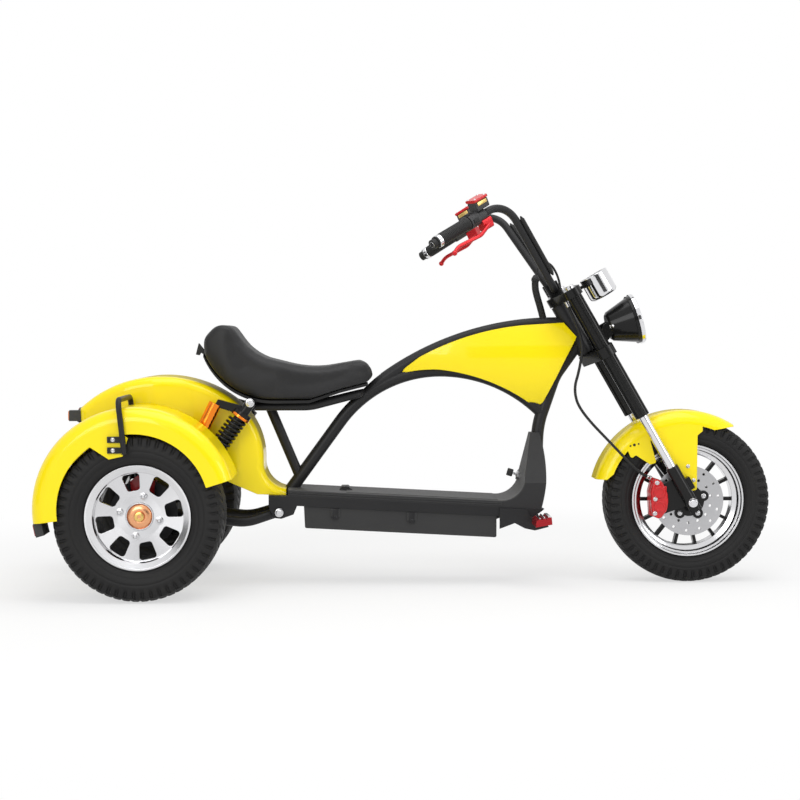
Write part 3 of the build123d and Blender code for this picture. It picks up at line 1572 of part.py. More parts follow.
# Rear brake calipers on plates beside the axle tubes
with BuildPart() as rear_calipers:
    caliper_start = axle_tube_end - rear_caliper_lap
    with BuildSketch(side.offset(caliper_start)):
        with BuildLine():
            Polyline(
                (4 - rear_caliper_half_w, rear_tyre_r + rear_caliper_low),
                (rear_caliper_half_w - 4, rear_tyre_r + rear_caliper_low),
                (rear_caliper_half_w, rear_tyre_r + rear_caliper_high - 16),
                (rear_caliper_half_w - 20, rear_tyre_r + rear_caliper_high),
                (20 - rear_caliper_half_w, rear_tyre_r + rear_caliper_high),
                (-rear_caliper_half_w, rear_tyre_r + rear_caliper_high - 16),
                close=True,
            )
        make_face()
    extrude(amount=half_track - rear_disc_in + rear_caliper_out - caliper_start)
    with BuildSketch(side.offset(half_track - rear_disc_in - rear_disc_t - caliper_gap)):
        with Locations((0, rear_tyre_r)):
            Circle(rear_disc_r + caliper_clear)
    extrude(amount=rear_disc_t + 2 * caliper_gap, mode=Mode.SUBTRACT)
    with BuildSketch(side.offset(caliper_start + 2 - rear_plate_t)):
        with Locations((0, rear_tyre_r)):
            Rectangle(2 * rear_plate_half_w, rear_plate_h, align=(Align.CENTER, Align.MIN))
            Circle(axle_tube_r, mode=Mode.SUBTRACT)
    extrude(amount=rear_plate_t)
    mirror(about=Plane.XZ)


fender_at = place(fender_centre[0], 0, fender_centre[1])
with BuildPart() as rear_fender_right:
    with BuildSketch(fender_section(fender_at, fender_front_angle)):
        with BuildLine():
            FilletPolyline(
                (fender_lip_in, fender_inner_y),
                (fender_r, fender_inner_y),
                (fender_r, fender_outer_y),
                (fender_wall_in, fender_outer_y),
                radius=(fender_lip_corner, fender_corner),
            )
            FilletPolyline(
                (fender_lip_in, fender_inner_y + fender_t),
                (fender_r - fender_t, fender_inner_y + fender_t),
                (fender_r - fender_t, fender_outer_y - fender_t),
                (fender_wall_in, fender_outer_y - fender_t),
                radius=(fender_lip_corner - fender_t, fender_corner - fender_t),
            )
            Line((fender_lip_in, fender_inner_y), (fender_lip_in, fender_inner_y + fender_t))
            Line((fender_wall_in, fender_outer_y), (fender_wall_in, fender_outer_y - fender_t))
        make_face()
    revolve(axis=Axis(fender_at, (0, -1, 0)), revolution_arc=fender_rear_angle - fender_front_angle)
    with BuildSketch(side.offset(fender_outer_y - fender_t)):
        with BuildLine():
            Polyline(*fender_ear_rear, *fender_ear_front, close=True)
        make_face()
    extrude(amount=fender_t)
with BuildPart() as rear_fender_left:
    mirror(rear_fender_right.part, about=Plane.XZ)

# Stays that hold the fenders from the axle
stay_in_y = fender_inner_y - stay_r - 4
stay_out_y = fender_outer_y + stay_r + 2
with BuildPart() as fender_stays:
    for sign in (-1, 1):
        with BuildLine() as run:
            FilletPolyline(
                place(stay_root_x, sign * stay_in_y, rear_tyre_r + axle_tube_r - stay_r),
                place(stay_top[0], sign * stay_in_y, stay_top[1]),
                place(stay_top[0], sign * stay_out_y, stay_top[1]),
                place(stay_foot[0], sign * stay_out_y, stay_foot[1]),
                radius=stay_bend_r,
            )
        add(swept_tube(run.wire(), stay_r))
        for z in stay_clip_zs:
            with Locations(place(stay_clip_x, sign * (fender_outer_y + stay_clip[1] / 2), z)):
                Box(*stay_clip)
    axle_tube = straight_tube(
        place(0, -axle_tube_end, rear_tyre_r),
        place(0, axle_tube_end, rear_tyre_r),
        axle_tube_r,
    )
    add(axle_tube, mode=Mode.SUBTRACT)

# Reflectors under the tails of the rear fenders
with BuildPart() as rear_reflectors:
    for sign in (-1, 1):
        with BuildSketch(fender_section(fender_at, fender_rear_angle + 0.1)):
            with Locations((fender_r - reflector_h / 2 - 1, -sign * (half_track + reflector_out))):
                Rectangle(reflector_h, reflector_w)
        revolve(axis=Axis(fender_at, (0, -1, 0)), revolution_arc=reflector_arc)

# Tail lamp: a bracket on the rear body with a lamp in the middle and one at each end
with BuildPart() as tail_lamp:
    with BuildSketch(side):
        with BuildLine():
            Polyline(*tail_root, *tail_face, close=True)
        make_face()
    extrude(amount=tail_bar_half / 2, both=True)
    add(
        straight_tube(
            place(tail_bar_at[0], -tail_bar_half, tail_bar_at[1]),
            place(tail_bar_at[0], tail_bar_half, tail_bar_at[1]),
            tail_bar_r,
        )
    )
    for sign in (-1, 1):
        with Locations(place(tail_bar_at[0] - 2, sign * tail_bar_half, tail_bar_at[1])):
            Box(*tail_box)
    add(rear_body.part, mode=Mode.SUBTRACT)

# Wiring loom: flexible sleeve from the top tube up to the handlebar clamp
loom_route = (
    (1118, 0, top_tube_z + main_tube_r / 2),
    (1108, 0, 790),
    (1098, 0, 822),
    (1092, 0, 850),
    (1094, 0, 872),
)
with BuildPart() as wiring_loom:
    with BuildLine() as run:
        FilletPolyline(*[place(*spot) for spot in loom_route], radius=loom_bend_r)
    add(swept_tube(run.wire(), loom_r))
    add(swept_tube(top_path, main_tube_r + seat_gap), mode=Mode.SUBTRACT)

# Brake hose from the upper clamp down beside the right leg to the caliper
# (ahead of the axle, Y, up the fork)
hose_route = (
    (-24, -62, upper_clamp_t),
    (-30, -72, 600),
    (-45, -80, 540),
    (-85, -82, 480),
    (-124, -82, 440),
    (-134, -82, 385),
    (-104, -82, 235),
    (-86, -78, 140),
    (-62, -54, 110),
)
with BuildPart() as brake_hose:
    with BuildLine() as run:
        FilletPolyline(*[fork.from_local_coords(spot) for spot in hose_route], radius=hose_bend_r)
    add(swept_tube(run.wire(), hose_r))
    add(front_caliper.part, mode=Mode.SUBTRACT)
    add(upper_clamp.part, mode=Mode.SUBTRACT)

nodes = {
    "head_tube": head_tube.part,
    "down_tube": down_tube.part,
    "lower_tube": lower_tube.part,
    "top_tube": top_tube.part,
    "seat_frame": seat_frame.part,
    "deck_rails": deck_rails.part,
    "footboard": footboard.part,
    "battery_case": battery_case.part,
    "key_switch": key_switch.part,
    "foot_brackets": foot_brackets.part,
    "foot_pegs": foot_pegs.part,
    "tank": tank.part,
    "seat_pan": seat_pan.part,
    "seat_cushion": seat_cushion.part,
    "rear_body": rear_body.part,
    "rear_motor": rear_motor.part,
    "rear_axle": rear_axle.part,
    "swing_arm": swing_arm.part,
    "shock_dampers": shock_dampers.part,
    "shock_springs": shock_springs.part,
    "shock_reservoirs": shock_reservoirs.part,
    "rear_calipers": rear_calipers.part,
    "rear_fender_left": rear_fender_left.part,
    "rear_fender_right": rear_fender_right.part,
    "fender_stays": fender_stays.part,
    "rear_reflectors": rear_reflectors.part,
    "tail_lamp": tail_lamp.part,
    "wiring_loom": wiring_loom.part,
    "steering_stem": steering_stem.part,
    "upper_clamp": upper_clamp.part,
    "fork_covers": fork_covers.part,
    "fork_tubes": fork_tubes.part,
    "fork_sliders": fork_sliders.part,
    "front_spindle": front_spindle.part,
    "front_fender": front_fender.part,
    "front_caliper": front_caliper.part,
    "handlebar": handlebar.part,
    "grips": grips.part,
    "switch_housings": switch_housings.part,
    "master_cylinders": master_cylinders.part,
    "reservoir_lids": reservoir_lids.part,
    "brake_levers": brake_levers.part,
    "brake_hose": brake_hose.part,
    "headlamp_shell": headlamp_shell.part,
    "headlamp_bezel": headlamp_bezel.part,
    "headlamp_lens": headlamp_lens.part,
    "lamp_bracket": lamp_bracket.part,
    "gauge": gauge.part,
    "front_tyre": front_tyre,
    "front_rim": front_rim,
    "front_hub": front_hub.part,
    "front_disc": front_disc.part,
}
for wheel_side, sign in (("left", 1), ("right", -1)):
    centre = place(0, sign * half_track, rear_tyre_r)
    nodes[f"rear_tyre_{wheel_side}"] = turned(rear_tyre_section, centre, sign)
    nodes[f"rear_rim_{wheel_side}"] = rear_rim(centre, sign)
    nodes[f"rear_hub_{wheel_side}"] = rear_hub(centre, sign)
    nodes[f"hub_cap_{wheel_side}"] = hub_cap(centre, sign)
for name, piece in nodes.items():
    piece.label = name
    export_step(piece, f"parts/{name}.step")
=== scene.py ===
import bpy
import bmesh
import math
from mathutils import Matrix, Vector


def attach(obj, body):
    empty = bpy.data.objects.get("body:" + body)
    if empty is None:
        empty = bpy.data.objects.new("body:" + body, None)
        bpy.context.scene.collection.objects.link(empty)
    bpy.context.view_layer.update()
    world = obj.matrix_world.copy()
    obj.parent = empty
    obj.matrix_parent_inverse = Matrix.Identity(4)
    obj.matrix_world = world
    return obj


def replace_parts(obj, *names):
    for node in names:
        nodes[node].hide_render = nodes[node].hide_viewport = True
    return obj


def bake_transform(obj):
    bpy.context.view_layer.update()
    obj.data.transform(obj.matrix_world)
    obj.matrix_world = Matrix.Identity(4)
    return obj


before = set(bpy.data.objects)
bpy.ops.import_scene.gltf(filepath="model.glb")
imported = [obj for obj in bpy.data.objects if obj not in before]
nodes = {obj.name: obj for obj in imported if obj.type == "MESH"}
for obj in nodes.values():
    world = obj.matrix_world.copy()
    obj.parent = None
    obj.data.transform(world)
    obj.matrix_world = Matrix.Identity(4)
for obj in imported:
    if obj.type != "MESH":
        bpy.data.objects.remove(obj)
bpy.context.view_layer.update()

# Welded tube frame: head tube, top tube, arched lower tube, down tube and the seat's tubes.
# Mild steel, powder coated in satin black, so it has a fine orange peel and softened edges.
# A tapered sleeve carries the top tube's line on into the lower tube, where the two are welded.
REAR_AXLE_X = -0.744


def at(x, y, z):
    """Point from millimetres ahead of the rear axle, to the left and above the ground."""
    return Vector((REAR_AXLE_X + x / 1000, y / 1000, z / 1000))


def new_group(name, inputs, outputs):
    """Empty shader node group with its named sockets."""
    group = bpy.data.node_groups.new(name, "ShaderNodeTree")
    for label, kind, value in inputs:
        socket = group.interface.new_socket(name=label, in_out="INPUT", socket_type=kind)
        socket.default_value = value
    for label, kind in outputs:
        group.interface.new_socket(name=label, in_out="OUTPUT", socket_type=kind)
    return group, group.nodes.new("NodeGroupInput"), group.nodes.new("NodeGroupOutput")


# Tone that drifts over the surface, the gloss that drifts with it, and a fine grain for bump
mottle, mottle_in, mottle_out = new_group(
    "mottle",
    (
        ("Colour", "NodeSocketColor", (0.5, 0.5, 0.5, 1)),
        ("Shade", "NodeSocketColor", (0.4, 0.4, 0.4, 1)),
        ("Patch Scale", "NodeSocketFloat", 6.0),
        ("Grain Scale", "NodeSocketFloat", 600.0),
        ("Gloss Low", "NodeSocketFloat", 0.3),
        ("Gloss High", "NodeSocketFloat", 0.4),
    ),
    (("Colour", "NodeSocketColor"), ("Roughness", "NodeSocketFloat"), ("Grain", "NodeSocketFloat")),
)
place = mottle.nodes.new("ShaderNodeTexCoord")
patch = mottle.nodes.new("ShaderNodeTexNoise")
patch.inputs["Detail"].default_value = 5.0
grain = mottle.nodes.new("ShaderNodeTexNoise")
grain.inputs["Detail"].default_value = 2.0
tint = mottle.nodes.new("ShaderNodeMix")
tint.data_type = "RGBA"
sheen = mottle.nodes.new("ShaderNodeMapRange")
link = mottle.links.new
link(place.outputs["Object"], patch.inputs["Vector"])
link(place.outputs["Object"], grain.inputs["Vector"])
link(mottle_in.outputs["Patch Scale"], patch.inputs["Scale"])
link(mottle_in.outputs["Grain Scale"], grain.inputs["Scale"])
link(patch.outputs["Fac"], tint.inputs["Factor"])
link(mottle_in.outputs["Colour"], tint.inputs["A"])
link(mottle_in.outputs["Shade"], tint.inputs["B"])
link(grain.outputs["Fac"], sheen.inputs["Value"])
link(mottle_in.outputs["Gloss Low"], sheen.inputs["To Min"])
link(mottle_in.outputs["Gloss High"], sheen.inputs["To Max"])
link(tint.outputs["Result"], mottle_out.inputs["Colour"])
link(sheen.outputs["Result"], mottle_out.inputs["Roughness"])
link(grain.outputs["Fac"], mottle_out.inputs["Grain"])

# Rounded normals along sharp edges, with a mask that is 1 on the edge, where a painted highlight can go
soft_edge, edge_in, edge_out = new_group(
    "soft_edge",
    (("Radius", "NodeSocketFloat", 0.0015),),
    (("Normal", "NodeSocketVector"), ("Mask", "NodeSocketFloat")),
)
bevel = soft_edge.nodes.new("ShaderNodeBevel")
bevel.samples = 4
face = soft_edge.nodes.new("ShaderNodeNewGeometry")
dot = soft_edge.nodes.new("ShaderNodeVectorMath")
dot.operation = "DOT_PRODUCT"
turn = soft_edge.nodes.new("ShaderNodeMapRange")
turn.inputs["From Min"].default_value = 1.0
turn.inputs["From Max"].default_value = 0.85
link = soft_edge.links.new
link(edge_in.outputs["Radius"], bevel.inputs["Radius"])
link(bevel.outputs["Normal"], dot.inputs[0])
link(face.outputs["Normal"], dot.inputs[1])
link(dot.outputs["Value"], turn.inputs["Value"])
link(bevel.outputs["Normal"], edge_out.inputs["Normal"])
link(turn.outputs["Result"], edge_out.inputs["Mask"])


def rgba(colour):
    """Colour with full alpha."""
    return (*colour, 1.0)


def finish(name, colour, shade, gloss, metallic=0.0, coat=0.0, patch_scale=6.0, grain_scale=600.0,
           grain_depth=0.05, edge_radius=0.0015, edge_highlight_colour=None, specular=0.5):
    """Material from the shared mottle and soft edge groups, with a painted highlight along its edges when an
    edge highlight colour is given.
    """
    material = bpy.data.materials.new(name)
    material.use_nodes = True
    tree = material.node_tree
    shader = tree.nodes["Principled BSDF"]
    shader.inputs["Metallic"].default_value = metallic
    shader.inputs["Coat Weight"].default_value = coat
    shader.inputs["Coat Roughness"].default_value = 0.05
    shader.inputs["Specular IOR Level"].default_value = specular
    tone = tree.nodes.new("ShaderNodeGroup")
    tone.node_tree = mottle
    tone.inputs["Colour"].default_value = rgba(colour)
    tone.inputs["Shade"].default_value = rgba(shade)
    tone.inputs["Patch Scale"].default_value = patch_scale
    tone.inputs["Grain Scale"].default_value = grain_scale
    tone.inputs["Gloss Low"].default_value = gloss[0]
    tone.inputs["Gloss High"].default_value = gloss[1]
    edge = tree.nodes.new("ShaderNodeGroup")
    edge.node_tree = soft_edge
    edge.inputs["Radius"].default_value = edge_radius
    bump = tree.nodes.new("ShaderNodeBump")
    bump.inputs["Strength"].default_value = grain_depth
    bump.inputs["Distance"].default_value = 0.001
    tree.links.new(tone.outputs["Grain"], bump.inputs["Height"])
    tree.links.new(edge.outputs["Normal"], bump.inputs["Normal"])
    tree.links.new(bump.outputs["Normal"], shader.inputs["Normal"])
    tree.links.new(tone.outputs["Roughness"], shader.inputs["Roughness"])
    colour_from = tone.outputs["Colour"]
    # Painted highlight: a paler colour laid along the edges by the soft edge mask
    if edge_highlight_colour:
        edge_highlight_mix = tree.nodes.new("ShaderNodeMix")
        edge_highlight_mix.data_type = "RGBA"
        edge_highlight_mix.inputs["B"].default_value = rgba(edge_highlight_colour)
        tree.links.new(edge.outputs["Mask"], edge_highlight_mix.inputs["Factor"])
        tree.links.new(colour_from, edge_highlight_mix.inputs["A"])
        colour_from = edge_highlight_mix.outputs["Result"]
    tree.links.new(colour_from, shader.inputs["Base Color"])
    return material


def dress(material, *names):
    """Gives CAD nodes their finish."""
    for name in names:
        mesh = nodes[name].data
        if len(nodes[name].material_slots) == 0:
            mesh.materials.append(material)
        for place in nodes[name].material_slots:
            place.material = material


satin_black = finish("satin_black_powder_coat", (0.014, 0.014, 0.015), (0.022, 0.022, 0.023), (0.34, 0.46),
                     grain_scale=900.0, grain_depth=0.12, edge_highlight_colour=(0.04, 0.04, 0.042), specular=0.22)
dress(satin_black, "head_tube", "top_tube", "lower_tube", "down_tube", "seat_frame")
MAIN_TUBE_R = 0.018
# (ahead of the rear axle, above the ground, share of the tube's radius)
fairing_line = ((704, 615, 1.0), (674, 595, 1.0), (640, 569, 1.0), (614, 545, 0.97), (596, 530, 0.9))


def smooth_tube(name, points, radius, material, facets=4):
    """Round tube on a smooth curve whose control points are its route's points."""
    curve = bpy.data.curves.new(name, "CURVE")
    curve.dimensions = "3D"
    curve.bevel_depth = radius
    curve.bevel_resolution = facets
    curve.use_fill_caps = True
    spline = curve.splines.new("NURBS")
    spline.points.add(len(points) - 1)
    for point, spot in zip(spline.points, points):
        point.co = (*spot, 1)
    spline.order_u = 3
    spline.use_endpoint_u = True
    curve.materials.append(material)
    tube = bpy.data.objects.new(name, curve)
    bpy.context.scene.collection.objects.link(tube)
    return tube


fairing = smooth_tube("tube_fairing", [at(x, 0, z) for x, z, _ in fairing_line], MAIN_TUBE_R, satin_black,
                      facets=8)
for point, (_, _, share) in zip(fairing.data.splines[0].points, fairing_line):
    point.radius = share
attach(fairing, "frame")

# Deck rails and foot brackets: pressed steel under the footboard, in the frame's black.
# The foot pegs are red castings whose teeth have plated caps.
dress(satin_black, "deck_rails", "foot_brackets")
plated = finish("plated_steel", (0.72, 0.72, 0.73), (0.6, 0.6, 0.62), (0.16, 0.3), metallic=1.0,
                grain_scale=300.0, grain_depth=0.03)
red_alloy = finish("red_anodised", (0.66, 0.022, 0.03), (0.52, 0.014, 0.02), (0.22, 0.34), metallic=0.55,
                   grain_scale=400.0, grain_depth=0.04)
peg_red = finish("peg_red_anodised", (0.42, 0.01, 0.018), (0.3, 0.008, 0.012), (0.22, 0.34), metallic=0.5,
                 grain_scale=500.0, grain_depth=0.06)
dress(peg_red, "foot_pegs")


def slab(bm, centre, along, up, size, edge):
    """Adds a block with rounded edges to a mesh; along and up are its own X and Z."""
    block = bmesh.new()
    bmesh.ops.create_cube(block, size=1.0, matrix=Matrix.Diagonal((*size, 1.0)))
    bmesh.ops.bevel(block, geom=block.edges[:], offset=edge, segments=3, affect="EDGES", profile=0.5)
    x = Vector(along).normalized()
    z = (Vector(up) - x * x.dot(Vector(up))).normalized()
    turn = Matrix((x, z.cross(x), z)).transposed().to_4x4()
    turn.translation = centre
    block.transform(turn)
    spare = bpy.data.meshes.new("spare")
    block.to_mesh(spare)
    block.free()
    bm.from_mesh(spare)
    bpy.data.meshes.remove(spare)


def put(name, bm, material, body):
    """Makes a piece of a mesh that rides on a body, with its finish."""
    bmesh.ops.recalc_face_normals(bm, faces=bm.faces[:])
    mesh = bpy.data.meshes.new(name)
    bm.to_mesh(mesh)
    bm.free()
    mesh.shade_smooth()
    mesh.set_sharp_from_angle(angle=math.radians(40))
    mesh.materials.append(material)
    shape = bpy.data.objects.new(name, mesh)
    bpy.context.scene.collection.objects.link(shape)
    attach(shape, body)
    return shape


PEG_MID_Y = 154
caps = bmesh.new()
for x, z, width in ((1113, 206, 0.009), (1098, 204, 0.004), (1086, 202, 0.004)):
    for sign in (-1, 1):
        slab(caps, at(x, sign * PEG_MID_Y, z), (0, 1, 0), (0, 0, 1), (0.094, width, 0.004), 0.001)
put("peg_caps", caps, plated, "frame")

# Footboard: one moulding in black plastic with a fine leathery grain, its lid seam and side steps.
# Its top is painted paler than its flanks, which take a painted shade by the way they face. The key switch is
# let into its curl, with the key in it.
moulded_black = finish("moulded_black_plastic", (0.04, 0.04, 0.042), (0.055, 0.055, 0.056), (0.42, 0.6),
                       grain_scale=1400.0, grain_depth=0.25, edge_highlight_colour=(0.09, 0.09, 0.09), specular=0.25)
deck_plastic = finish("deck_plastic_painted_light_top", (0.07, 0.07, 0.072), (0.09, 0.09, 0.091), (0.45, 0.62),
                      grain_scale=1400.0, grain_depth=0.25, edge_highlight_colour=(0.12, 0.12, 0.12), specular=0.25)
FLANK_PAINTED_SHADE = (0.024, 0.024, 0.025)

# Mask that rises from 0 to 1 as a vector's sideways part grows, used to lay on painted shade
side_mask, side_in, side_out = new_group(
    "side_mask",
    (
        ("Vector", "NodeSocketVector", (0, 0, 0)),
        ("From", "NodeSocketFloat", 0.0),
        ("To", "NodeSocketFloat", 1.0),
    ),
    (("Mask", "NodeSocketFloat"),),
)
parted = side_mask.nodes.new("ShaderNodeSeparateXYZ")
sideways = side_mask.nodes.new("ShaderNodeMath")
sideways.operation = "ABSOLUTE"
rise = side_mask.nodes.new("ShaderNodeMapRange")
link = side_mask.links.new
link(side_in.outputs["Vector"], parted.inputs["Vector"])
link(parted.outputs["Y"], sideways.inputs[0])
link(sideways.outputs["Value"], rise.inputs["Value"])
link(side_in.outputs["From"], rise.inputs["From Min"])
link(side_in.outputs["To"], rise.inputs["From Max"])
link(rise.outputs["Result"], side_out.inputs["Mask"])


def painted_shade_tone(material, source, output, span, colour, where):
    """Mixes a painted shade colour into a finish by the side mask, as its low end A or its high end B."""
    tree = material.node_tree
    base = tree.nodes["Principled BSDF"].inputs["Base Color"]
    vector = tree.nodes.new(source)
    mask = tree.nodes.new("ShaderNodeGroup")
    mask.node_tree = side_mask
    mask.inputs["From"].default_value = span[0]
    mask.inputs["To"].default_value = span[1]
    mix = tree.nodes.new("ShaderNodeMix")
    mix.data_type = "RGBA"
    mix.inputs[where].default_value = rgba(colour)
    tree.links.new(vector.outputs[output], mask.inputs["Vector"])
    tree.links.new(mask.outputs["Mask"], mix.inputs["Factor"])
    tree.links.new(base.links[0].from_socket, mix.inputs["A" if where == "B" else "B"])
    tree.links.new(mix.outputs["Result"], base)
    return mask.outputs["Mask"]


# Painted shade: the footboard's flanks, facing sideways, take a darker colour than its top
painted_shade_tone(deck_plastic, "ShaderNodeNewGeometry", "Normal", (0.5, 0.9), FLANK_PAINTED_SHADE, "B")
dress(deck_plastic, "footboard")
dress(plated, "key_switch")
DECK_PITCH = math.radians(3)
DECK_BACK = (434, 272)
deck_along = (math.cos(DECK_PITCH), 0, -math.sin(DECK_PITCH))
deck_up = (math.sin(DECK_PITCH), 0, math.cos(DECK_PITCH))


def deck_at(x, y, drop):
    """Point below the deck's top by a drop in millimetres."""
    return at(x, y, DECK_BACK[1] - (x - DECK_BACK[0]) * math.tan(DECK_PITCH) - drop)


trim = bmesh.new()
slab(trim, deck_at(765, 0, 0), deck_along, deck_up, (0.43, 0.178, 0.003), 0.0012)
for sign in (-1, 1):
    for drop in (8.0, 13.5):
        slab(trim, deck_at(690, sign * 100, drop), deck_along, deck_up, (0.6, 0.003, 0.0025), 0.0008)
put("deck_trim", trim, deck_plastic, "frame")


def turned(bm, centre, axis, profile, steps=32, closed=True):
    """Adds a body of revolution to a mesh, from pairs of millimetres along the axis and out from it."""
    axis = Vector(axis).normalized()
    across = axis.orthogonal().normalized()
    up = axis.cross(across)
    rings = []
    for along, radius in profile:
        ring = []
        for step in range(steps):
            angle = 2 * math.pi * step / steps
            out = (across * math.cos(angle) + up * math.sin(angle)) * radius
            ring.append(bm.verts.new(centre + (axis * along + out) / 1000))
        rings.append(ring)
    for low, high in zip(rings, rings[1:]):
        for step in range(steps):
            after = (step + 1) % steps
            bm.faces.new((low[step], low[after], high[after], high[step]))
    if closed:
        bm.faces.new(rings[0])
        bm.faces.new(rings[-1])


key_facing = Vector((-0.96, 0, 0.28)).normalized()
key_face = at(1058, 62, 300) + key_facing * 0.010
key = bmesh.new()
turned(key, key_face, key_facing, ((-2, 8.5), (1.5, 8.5), (2.5, 7.5), (2.5, 3), (1, 2.5)))
slab(key, key_face + key_facing * 0.008, key_facing, (0, 0, 1), (0.014, 0.002, 0.007), 0.0006)
put("key", key, plated, "frame")
key_bow = bmesh.new()
slab(key_bow, key_face + key_facing * 0.021, key_facing, (0, 0, 1), (0.018, 0.006, 0.022), 0.0025)
put("key_bow", key_bow, moulded_black, "frame")

# Battery case: folded steel box in semi-matt black, held up by sprung clips.
# Each clip is a black spring plate on a cap bolt.
case_black = finish("battery_case_black", (0.03, 0.03, 0.031), (0.042, 0.042, 0.042), (0.45, 0.6),
                    grain_scale=1100.0, grain_depth=0.1, edge_highlight_colour=(0.08, 0.08, 0.08), specular=0.22)
dress(case_black, "battery_case")


def socket_bolt(bm, centre, axis, radius):
    """Adds a cap bolt on its washer, with the recess for the key."""
    washer_r = 1.4 * radius
    turned(bm, centre, axis, ((-0.4, washer_r), (0.22 * radius, washer_r), (0.26 * radius, 1.3 * radius)))
    turned(bm, centre, axis, (
        (0, radius), (0.85 * radius, radius), (radius, 0.87 * radius), (radius, 0.55 * radius),
        (0.5 * radius, 0.5 * radius),
    ))


clips = bmesh.new()
for x in (520, 735):
    for sign in (-1, 1):
        slab(clips, deck_at(x, sign * 99.4, 62), deck_along, deck_up, (0.016, 0.0018, 0.03), 0.0007)
        socket_bolt(clips, deck_at(x, sign * 100, 70), (0, sign, 0), 3.0)
put("battery_clips", clips, satin_black, "frame")

# Painted panels: tank cover, rear body and fenders.
# Moulded plastic in bright yellow under a clear gloss lacquer.
yellow = finish("yellow_lacquer", (0.99, 0.79, 0.002), (0.97, 0.76, 0.001), (0.26, 0.34), coat=0.4,
                patch_scale=3.0, grain_scale=180.0, grain_depth=0.01, edge_radius=0.003, specular=0.2)
dress(yellow, "tank", "rear_body", "rear_fender_left", "rear_fender_right", "front_fender")

# Seat cushion: foam under a black leather cover, pulled tight over a moulded pan.
# The cover is held along the pan and stands a little proud of it, as foam pushes it out.
leather = finish("black_seat_leather", (0.012, 0.012, 0.0125), (0.02, 0.02, 0.021), (0.4, 0.54),
                 grain_scale=700.0, grain_depth=0.35, edge_radius=0.0005, specular=0.28)
dress(leather, "seat_pan")
SEAT_SHRINK = 0.004
SEAT_SWELL = 0.007
SEAT_VOXEL = 0.0055
COVER_PRESSURE = 4.0
COVER_FRAMES = 20


def settle(shape):
    """Turns a shape's modifiers into its mesh."""
    mesh = bpy.data.meshes.new_from_object(shape.evaluated_get(bpy.context.evaluated_depsgraph_get()))
    shape.modifiers.clear()
    shape.data = mesh


def seat_swollen():
    """The cushion's own solid, made a little smaller and blown up against its cover."""
    cushion = bpy.data.objects.new("seat_cushion_soft", nodes["seat_cushion"].data.copy())
    bpy.context.scene.collection.objects.link(cushion)
    remesh = cushion.modifiers.new("even", "REMESH")
    remesh.mode = "VOXEL"
    remesh.voxel_size = SEAT_VOXEL
    settle(cushion)
    for vertex in cushion.data.vertices:
        vertex.co -= vertex.normal * SEAT_SHRINK
    rest = [vertex.co.copy() for vertex in cushion.data.vertices]
    held = cushion.vertex_groups.new(name="held")
    held.add([v.index for v in cushion.data.vertices if v.normal.z < -0.5], 1.0, "REPLACE")
    cloth = cushion.modifiers.new("cover", "CLOTH")
    cloth.settings.quality = 6
    cloth.settings.use_pressure = True
    cloth.settings.uniform_pressure_force = COVER_PRESSURE
    cloth.settings.vertex_group_mass = "held"
    cloth.settings.effector_weights.gravity = 0.0
    for step in range(1, COVER_FRAMES + 1):
        bpy.context.scene.frame_set(step)
    settle(cushion)
    bpy.context.scene.frame_set(1)
    for vertex, start in zip(cushion.data.vertices, rest):
        step = vertex.co - start
        if step.length > SEAT_SWELL:
            vertex.co = start + step * (SEAT_SWELL / step.length)
    smooth = cushion.modifiers.new("ease", "SMOOTH")
    smooth.factor = 0.5
    smooth.iterations = 4
    finer = cushion.modifiers.new("finer", "SUBSURF")
    finer.levels = 1
    finer.render_levels = 1
    settle(cushion)
    cushion.data.shade_smooth()
    cushion.data.materials.clear()
    cushion.data.materials.append(leather)
    return cushion


cushion = seat_swollen()
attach(cushion, "frame")
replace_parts(cushion, "seat_cushion")

# Rear end: axle tubes, motor housing and swing arm, which are black steel and cast alloy.
# The arm turns on a plated pivot bolt through the frame's plates, and bolts hold the shocks' eyes
# and the fenders' stays.
dress(satin_black, "rear_axle", "swing_arm", "fender_stays")
cast_dark = finish("dark_cast_alloy", (0.08, 0.08, 0.085), (0.05, 0.05, 0.052), (0.5, 0.7), metallic=0.6,
                   grain_scale=500.0, grain_depth=0.4)
dress(cast_dark, "rear_motor")


def hex_bolt(bm, centre, axis, radius):
    """Adds a hexagon head on its washer."""
    washer_r = 1.35 * radius
    turned(bm, centre, axis, ((-0.4, washer_r), (0.2 * radius, washer_r), (0.24 * radius, 1.25 * radius)))
    head = ((0.1 * radius, radius), (0.8 * radius, radius), (0.92 * radius, 0.85 * radius))
    turned(bm, centre, axis, head, steps=6)


SHOCK_TOP = (285, 522)
SHOCK_FOOT = (104, 276)
ARM_PIVOT = (362, 211)
bolts = bmesh.new()
for sign in (-1, 1):
    for (x, z), y, radius in ((ARM_PIVOT, 108, 9.0), (SHOCK_TOP, 161, 9.0), (SHOCK_FOOT, 161, 8.0)):
        hex_bolt(bolts, at(x, sign * y, z), (0, sign, 0), radius)
    for z in (408, 436):
        socket_bolt(bolts, at(-58, sign * 393, z), (0, sign, 0), 4.0)
put("frame_bolts", bolts, plated, "frame")

